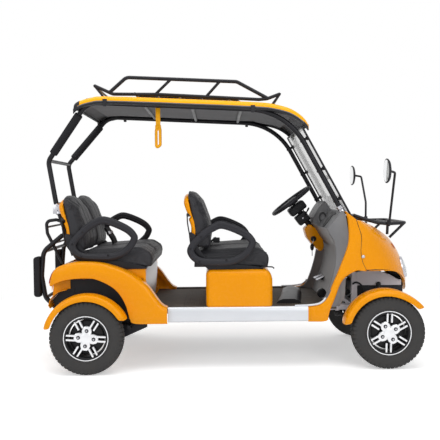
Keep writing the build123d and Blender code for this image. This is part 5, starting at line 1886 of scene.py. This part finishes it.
add_turned(
    column_shape, (0, 0, 0), (0, 0, 1), [(0.020, -0.30), (0.020, -0.040), (0.0135, -0.0385), (0.0135, -0.10)],
    28,
)
housings = (
    ((-0.066, 0.066), (-0.060, 0.060), (-0.100, -0.0375), 0.014),
    ((-0.058, 0.034), (-0.048, 0.048), (-0.186, -0.112), 0.010),
)
for x, y, z, edge in housings:
    add_plate(column_shape, box_outline(x, y), *z, edge, plane="XY")
for side in SIDES:
    lever = metres(((16, side * 44, -140), (28, side * 80, -128), (46, side * 128, -112)))
    add_tube(column_shape, lever, 0.005, sides=10)
    add_rod(column_shape, lever[-1], lever[-1] + (lever[-1] - lever[-2]) * 0.5, 0.0072, end_radius=0.0055)
column_shape.transform(column_frame)
dress("column_housings", mended(column_shape), trim_black, node="steering_column")

buttons = bmesh.new()
add_turned(buttons, (-0.012, -0.047, -0.148), (0, -1, 0), [(0.0055, 0), (0.0055, 0.003), (0.003, 0.004)], 20)
buttons.transform(column_frame)

cover = bmesh.new()
cover_side = ((620, 886), (680, 838), (712, 780), (720, 722), (702, 676), (640, 732), (598, 786), (580, 852))
cover_line = rounded(side_run(cover_side), [0.02] * 8, 3, closed=True)
add_plate(cover, [(p.x, p.z) for p in cover_line], driver_y - 0.062, driver_y + 0.062, 0.014)
dress("column_cover_shell", mended(cover), body_orange, node="column_cover")

lock, key = bmesh.new(), bmesh.new()
lock_place = at(0.644, driver_y - 0.061, 0.778)
add_turned(
    lock, lock_place, (0, -1, 0), [(0.020, -0.004), (0.020, 0.004), (0.016, 0.006), (0.010, 0.006)], 28
)
fob = [(0.632 + 0.014 * cos(a), 0.720 + 0.026 * sin(a)) for a in full_turn(24)]
add_plate(lock, fob, lock_place.y - 0.020, lock_place.y - 0.012, 0.003)
key_line = [lock_place + p for p in metres(((0, -8, 0), (-3, -16, -14), (-9, -16, -34)))]
add_tube(key, key_line, 0.0016, 8)
add_block(key, (0.6290, 0.6350), (lock_place.y - 0.0175, lock_place.y - 0.0150), (0.656, 0.697), 0.0008)
dress("key_lock", mended(lock), pocket_black)
absorb(buttons, key)
dress("keys_and_buttons", mended(buttons), bolt_steel)
print("steering column", round(degrees(column_rake), 1), "degrees")

# %% [markdown]
# Two pedals hang from the toe board on bent arms. A black moulding lies across
# the floor in front of the bench, and a small round housing stands by the sill.

# %% Pedals and floor moulding
pedal_shape, pedal_pads = bmesh.new(), bmesh.new()
for y in (0.130, 0.235):
    arm = rounded(metres(((748, y / MM, 440), (728, y / MM, 470), (700, y / MM, 492))), [0, 0.02, 0])
    add_tube(pedal_shape, arm, 0.007, sides=12)
    pad = bmesh.new()
    add_plate(pad, box_outline((-0.032, 0.032), (-0.034, 0.034)), -0.003, 0.003, 0.002, plane="XY")
    pad.transform(Matrix.Translation((0.690, y, 0.497)) @ Matrix.Rotation(radians(-27), 4, "Y"))
    absorb(pedal_pads, pad)
floor_top = 0.3845
hump_rows = []
for y, low_x, high_x, lift in (
    (-0.285, 0.335, 0.500, 0.030), (-0.05, 0.38, 0.530, 0.040), (0.16, 0.415, 0.560, 0.040),
    (0.300, 0.430, 0.565, 0.030),
):
    hump_rows.append([at(x, y, floor_top + share * lift) for x, share in (
        (low_x, 0), (low_x + 0.014, 0.6), (low_x + 0.045, 1),
        (high_x - 0.045, 1), (high_x - 0.012, 0.6), (high_x, 0),
    )])
hump_rows = [list(row) for row in zip(*[smooth_line(column, 5) for column in zip(*hump_rows)])]
add_capped(pedal_shape, hump_rows)
add_turned(
    pedal_shape, (0.634, -0.270, 0.452), (0, -1, 0),
    [(0.024, -0.02), (0.030, 0.0), (0.030, 0.022), (0.024, 0.026), (0.022, 0.018)], 32,
)
dress("pedal_arms_and_floor_moulding", mended(pedal_shape), pocket_black, node="pedals")
dress("pedal_pads", mended(pedal_pads), clamp_silver)

# %% [markdown]
# ## Screen, racks and mirrors
# The windscreen is a clear sheet in front of the pillars, between two black edge
# trims. Clamps hold it, and silver sleeves grip the pillars where they meet the dash.

# %% Windscreen
screen_out = 0.0335
screen_shape, screen_trim = bmesh.new(), bmesh.new()
screen_ends = [[on_pillar(z, 1, screen_out + d) for z in (1.503, 0.950)] for d in (-0.0022, 0.0022)]
rows = [[at(p.x, y, p.z) for y in (-0.425, 0.425)] for p in screen_ends[0] + screen_ends[1][::-1]]
verts = add_grid(screen_shape, rows, wrap_rows=True)
for end in (0, 1):
    screen_shape.faces.new([row[end] for row in verts])
dress("windscreen_sheet", mended(screen_shape), screen_clear, node="windscreen")
trim_y = 0.4225
trim_ends = [on_pillar(z, 1, screen_out) for z in (1.508, 0.948)]
for side in SIDES:
    add_rod(screen_trim, *[beside(p, side * trim_y) for p in trim_ends], 0.0065, sides=12)
    for z in (1.44, 1.25, 1.06):
        add_rod(screen_trim, on_pillar(z, side, 0.024), on_pillar(z, side, 0.041), 0.013, sides=18)
add_cross_bars(screen_trim, [(p.x, p.z) for p in trim_ends], trim_y, 0.0065, sides=12)
dress("windscreen_trim", mended(screen_trim), trim_black)

# %% [markdown]
# A yellow strap hangs from a roof tube for the rear riders: a short flat strap, and
# a grip that is a tube bent to a narrow ring.

# %% Hand strap
strap_x, strap_y = -0.423, -0.300
strap_top = roof_height(strap_x) - 0.002
hand_loop = bmesh.new()
add_block(
    hand_loop, (strap_x - 0.015, strap_x + 0.015), (strap_y - 0.004, strap_y + 0.004),
    (strap_top - 0.142, strap_top), 0.002,
)
corners = [
    (strap_x + a * 0.013, strap_y, strap_top - 0.192 + b * 0.058 + a * 0.010)
    for a, b in box_outline(SIDES, SIDES)
]
add_tube(hand_loop, rounded(corners, 0.012, 6, closed=True), 0.0095, sides=14, closed=True)
add_block(
    hand_loop, (strap_x - 0.019, strap_x + 0.019), (strap_y - 0.007, strap_y + 0.007),
    (strap_top - 0.146, strap_top - 0.112), 0.004,
)
dress("hand_strap_loop", mended(hand_loop), strap_yellow, node="hand_strap")

# %% [markdown]
# One tube, bent in one run from side to side, is the front rack's rail, and short
# bars fill it. Each mirror is a turned shell on a bent stalk clamped to that rail.

# %% Front rack and mirrors
near_rail = metres(((838, 308, 962), (905, 308, 938), (990, 308, 912), (1064, 308, 903), (1194, 258, 907)))
rail_loop = across(near_rail, -1) + list(reversed(near_rail))
front_tubes = bmesh.new()
add_tube(front_tubes, rounded(rail_loop, 0.06), 0.011, sides=16)
rack_feet = (
    ((1061, 308, 903), (1061, 296, 836)), ((1182, 262, 906), (1085, 262, 812)),
    ((838, 308, 962), (800, 396, 962)),
)
for side in SIDES:
    for run in rack_feet:
        add_rod(front_tubes, *across(metres(run), side), 0.009)
for x, reach in ((1.032, 0.306), (1.080, 0.300), (1.128, 0.282)):
    add_cross_bars(front_tubes, [(x, 0.903)], reach, 0.007)
dress("front_rack_tubes", mended(front_tubes), frame_black, node="front_rack")

stalks, shells_back, glasses = bmesh.new(), bmesh.new(), bmesh.new()
for side in SIDES:
    stalk = across(metres(((1064, 330, 890), (1072, 360, 1034), (1063, 476, 1230), (1019, 516, 1240))), side)
    add_tube(stalks, rounded(stalk, [0, 0.08, 0.02, 0], 8), 0.0075, sides=12)
    add_block(stalks, (1.052, 1.076), sorted((side * 0.316, side * 0.338)), (0.894, 0.930), 0.004)
    for z in (0.900, 0.924):
        add_rod(stalks, (1.064, side * 0.337, z), (1.064, side * 0.343, z), 0.006, sides=6)
    head = at(0.997, side * 0.516, 1.240)
    back = (
        (0.070, 0.0), (0.076, 0.002), (0.075, 0.008), (0.066, 0.016), (0.045, 0.022), (0.020, 0.024),
        (0.001, 0.0245),
    )
    add_turned(shells_back, head, (1, 0, 0), back, 48)
    add_turned(
        glasses, head, (1, 0, 0), [(0.001, -0.0012), (0.066, -0.0010), (0.0695, 0.0004), (0.0695, 0.003)], 48
    )
dress("mirror_stalks", mended(stalks), frame_black, node="mirrors")
dress("mirror_shells", mended(shells_back), trim_black)
dress("mirror_glasses", mended(glasses), mirror_glass)

# %% [markdown]
# ## Bumper, carrier, clamps and small parts
# Behind, a bumper tube a side carries a foam pad, and a lighter carrier stands
# above it. Both are runs of corners with bends, like the roof frame.

# %% Rear bumper and carrier
bumper_run = metres((
    (-1060, 280, 846), (-1186, 280, 742), (-1200, 280, 580), (-1178, 280, 440), (-1090, 280, 350)
))
carrier_run = metres((
    (-1050, 264, 930), (-1100, 264, 948), (-1168, 264, 940), (-1162, 264, 860), (-1090, 264, 710),
    (-1066, 264, 662),
))
bumper_tubes, carrier_tubes, pads_black = bmesh.new(), bmesh.new(), bmesh.new()
for side in SIDES:
    add_tube(bumper_tubes, rounded(across(bumper_run, side), [0, 0.09, 0.1, 0.06, 0]), 0.0155, sides=16)
    for run in (((-1060, 280, 846), (-1040, 280, 874)), ((-1098, 280, 350), (-1062, 288, 545))):
        add_rod(bumper_tubes, *across(metres(run), side), 0.010)
    add_tube(carrier_tubes, rounded(across(carrier_run, side), 0.03), 0.011, sides=14)
    pad_side = side_run(box_outline((-1246, -1206), (446, 708)))
    pad_side = rounded(pad_side, [0.036, 0.004, 0.004, 0.036], 6, closed=True)
    add_plate(pads_black, [(p.x, p.z) for p in pad_side], *sorted((side * 0.248, side * 0.312)), 0.008)
    for z in (0.500, 0.654):
        add_rod(pads_black, (-1.2462, side * 0.280, z), (-1.2475, side * 0.280, z), 0.009)
add_cross_bars(bumper_tubes, ((-1.183, 0.740), (-1.175, 0.438)), 0.280, 0.011)
add_cross_bars(carrier_tubes, ((-1.164, 0.900), (-1.134, 0.790), (-1.080, 0.944)), 0.264, 0.007)
dress("rear_bumper_tubes", mended(bumper_tubes), frame_black, node="rear_bumper")
dress("rear_carrier_tubes", mended(carrier_tubes), frame_black, node="rear_carrier")
dress("bumper_pad_blocks", mended(pads_black), foam_black, node="bumper_pads")

# %% [markdown]
# Silver sleeves grip the tubes at their joints, each a turned profile with a lip at
# both ends. Hoses behind the nose follow a soft curve, over a shallow black tray.

# %% Clamps and bolts
sleeves, clamp_bolts, hoses = bmesh.new(), bmesh.new(), bmesh.new()
for side in SIDES:
    hoop = across(metres(((-1077, 282, 986), (-1097, 280, 1052))), side)
    pillar = [on_pillar(z, side) for z in (0.956, 1.026)]
    for start, end in (hoop, pillar):
        length, axis = (end - start).length, (end - start).normalized()
        grip = [
            (0.0185, 0.0), (0.021, 0.0015), (0.021, 0.018), (0.0195, 0.020), (0.0195, 0.022), (0.021, 0.024)
        ]
        profile = grip + [(r, length - a) for r, a in reversed(grip)]
        add_turned(sleeves, start, axis, profile, 32)
        for share in (0.32, 0.68):
            add_rod(hoses, start.lerp(end, share - 0.035), start.lerp(end, share + 0.035), 0.0214)
        for share in (0.16, 0.84):
            bolt = start.lerp(end, share) + at(0.008, side * 0.0195, 0)
            add_rod(clamp_bolts, bolt, bolt + at(0, side * 0.006, 0), 0.0055, sides=6)
    add_block(sleeves, (-1.113, -1.061), sorted((side * 0.302, side * 0.298)), (0.988, 1.048), 0.001)
    add_turned(
        sleeves, (0.872, side * 0.4475, 0.704), (0, side, 0),
        [(0.010, -0.003), (0.010, 0.001), (0.007, 0.0035), (0.003, 0.0045)], 24,
    )
    hose = metres(((850, 226, 500), (872, 232, 512), (900, 232, 500), (930, 226, 460), (950, 215, 400)))
    add_tube(hoses, smooth_line(across(hose, side), 6), 0.006, sides=12)
dress("clamp_sleeves", mended(sleeves), clamp_silver, node="tube_clamps")
dress("clamp_bolts", mended(clamp_bolts), bolt_steel)
add_block(hoses, (0.886, 1.196), (-0.185, 0.185), (0.415, 0.486), 0.006)
dress("nose_tray_and_hoses", mended(hoses), trim_black)

# %% [markdown]
# The rails, axles and other running gear keep their frame shapes, because their
# shapes are right. Each gets a finish with its own grain and wear.

# %% Finishes of the running gear
gear_finishes = {
    subframe_grey: ("front_subframe", "chassis_rails"),
    axle_black: ("front_axle", "rear_axle", "spring_struts", "tie_rod", "knuckle_right", "knuckle_left"),
    frame_black: ("cross_members", "swing_arms"),
    battery_grey: ("battery_pack",),
}
for finish, names in gear_finishes.items():
    for name in names:
        nodes[name].data.materials.clear()
        nodes[name].data.materials.append(finish)
print("running gear", sum(len(names) for names in gear_finishes.values()), "nodes")

# %% [markdown]
# ## Light
# Three broad soft lamps, over the cart, to the front right and to the rear right,
# stand in for a studio. The pale floor takes a soft shadow under the tyres, and far
# from the cart it fades to the plain white of the world.

# %% Floor, lamps and world
def seen_directly(network):
    """1 for the rays that show a background: camera, glossy and transmission rays."""
    camera_ray, glossy, through = (
        network.node("ShaderNodeLightPath", out=f"Is {kind} Ray")
        for kind in ("Camera", "Glossy", "Transmission")
    )
    return camera_ray.maths("ADD", glossy, use_clamp=True).maths("ADD", through, use_clamp=True)


def show_mixed(network, share, first, second, ending):
    """Ends a network with two shaders mixed by a share."""
    mixed = network.node("ShaderNodeMixShader", None, {0: share, 1: Value(network, first), 2: second})
    network.feed(network.tree.nodes[ending].inputs["Surface"], mixed)


reach, lift, fade_from, fade_to = 40.0, 0.42, 1.5, 3.4
floor_mesh = bpy.data.meshes.new("studio floor")
corners = [(-reach, -reach, 0), (reach, -reach, 0), (reach, reach, 0), (-reach, reach, 0)]
floor_mesh.from_pydata(corners, [], [(0, 1, 2, 3)])
floor = linked("studio floor", floor_mesh)
floor_finish = Finish("studio floor")
seen = seen_directly(floor_finish)
floor_finish.set(
    Base_Color=(1, 1, 1), Roughness=0.9, Specular_IOR_Level=0.1, Emission_Color=(1, 1, 1),
    Emission_Strength=seen * lift,
)
spot = floor_finish.node("ShaderNodeNewGeometry", out="Position")
distance = floor_finish.node("ShaderNodeVectorMath", {"operation": "LENGTH"}, {0: spot}, out="Value")
fade = floor_finish.node(
    "ShaderNodeMapRange", None, {"Value": distance, "From Min": fade_from, "From Max": fade_to}
)
glow = floor_finish.node("ShaderNodeEmission")
show_mixed(floor_finish, fade * seen, floor_finish.shader.outputs[0], glow, "Material Output")
floor_mesh.materials.append(floor_finish.material)


def soft_lamp(name, place, target, size, power):
    """A broad rectangular lamp that looks at a target."""
    data = bpy.data.lights.new(name, "AREA")
    data.shape = "RECTANGLE"
    data.size, data.size_y = size
    data.energy = power
    lamp = linked(name, data)
    lamp.location = place
    lamp.rotation_euler = (Vector(target) - Vector(place)).to_track_quat("-Z", "Y").to_euler()


soft_lamp("overhead", (-0.3, -0.9, 4.6), (0, 0, 0.6), (5.0, 3.2), 125)
soft_lamp("front right", (2.2, -4.6, 2.6), (0, 0, 0.8), (2.6, 2.2), 58)
soft_lamp("rear right", (-3.4, -4.0, 2.2), (0, 0, 0.8), (2.2, 2.2), 34)
world = bpy.data.worlds.new("studio")
world.use_nodes = True
sky = Network(world.node_tree)
sky_light = sky.tree.nodes["Background"]
sky.feed(sky_light.inputs["Color"], (1, 1, 1))
sky.feed(sky_light.inputs["Strength"], 0.46)
white = sky.node("ShaderNodeBackground", None, {"Color": (1, 1, 1)})
show_mixed(sky, seen_directly(sky), sky_light.outputs[0], white, "World Output")
bpy.context.scene.world = world
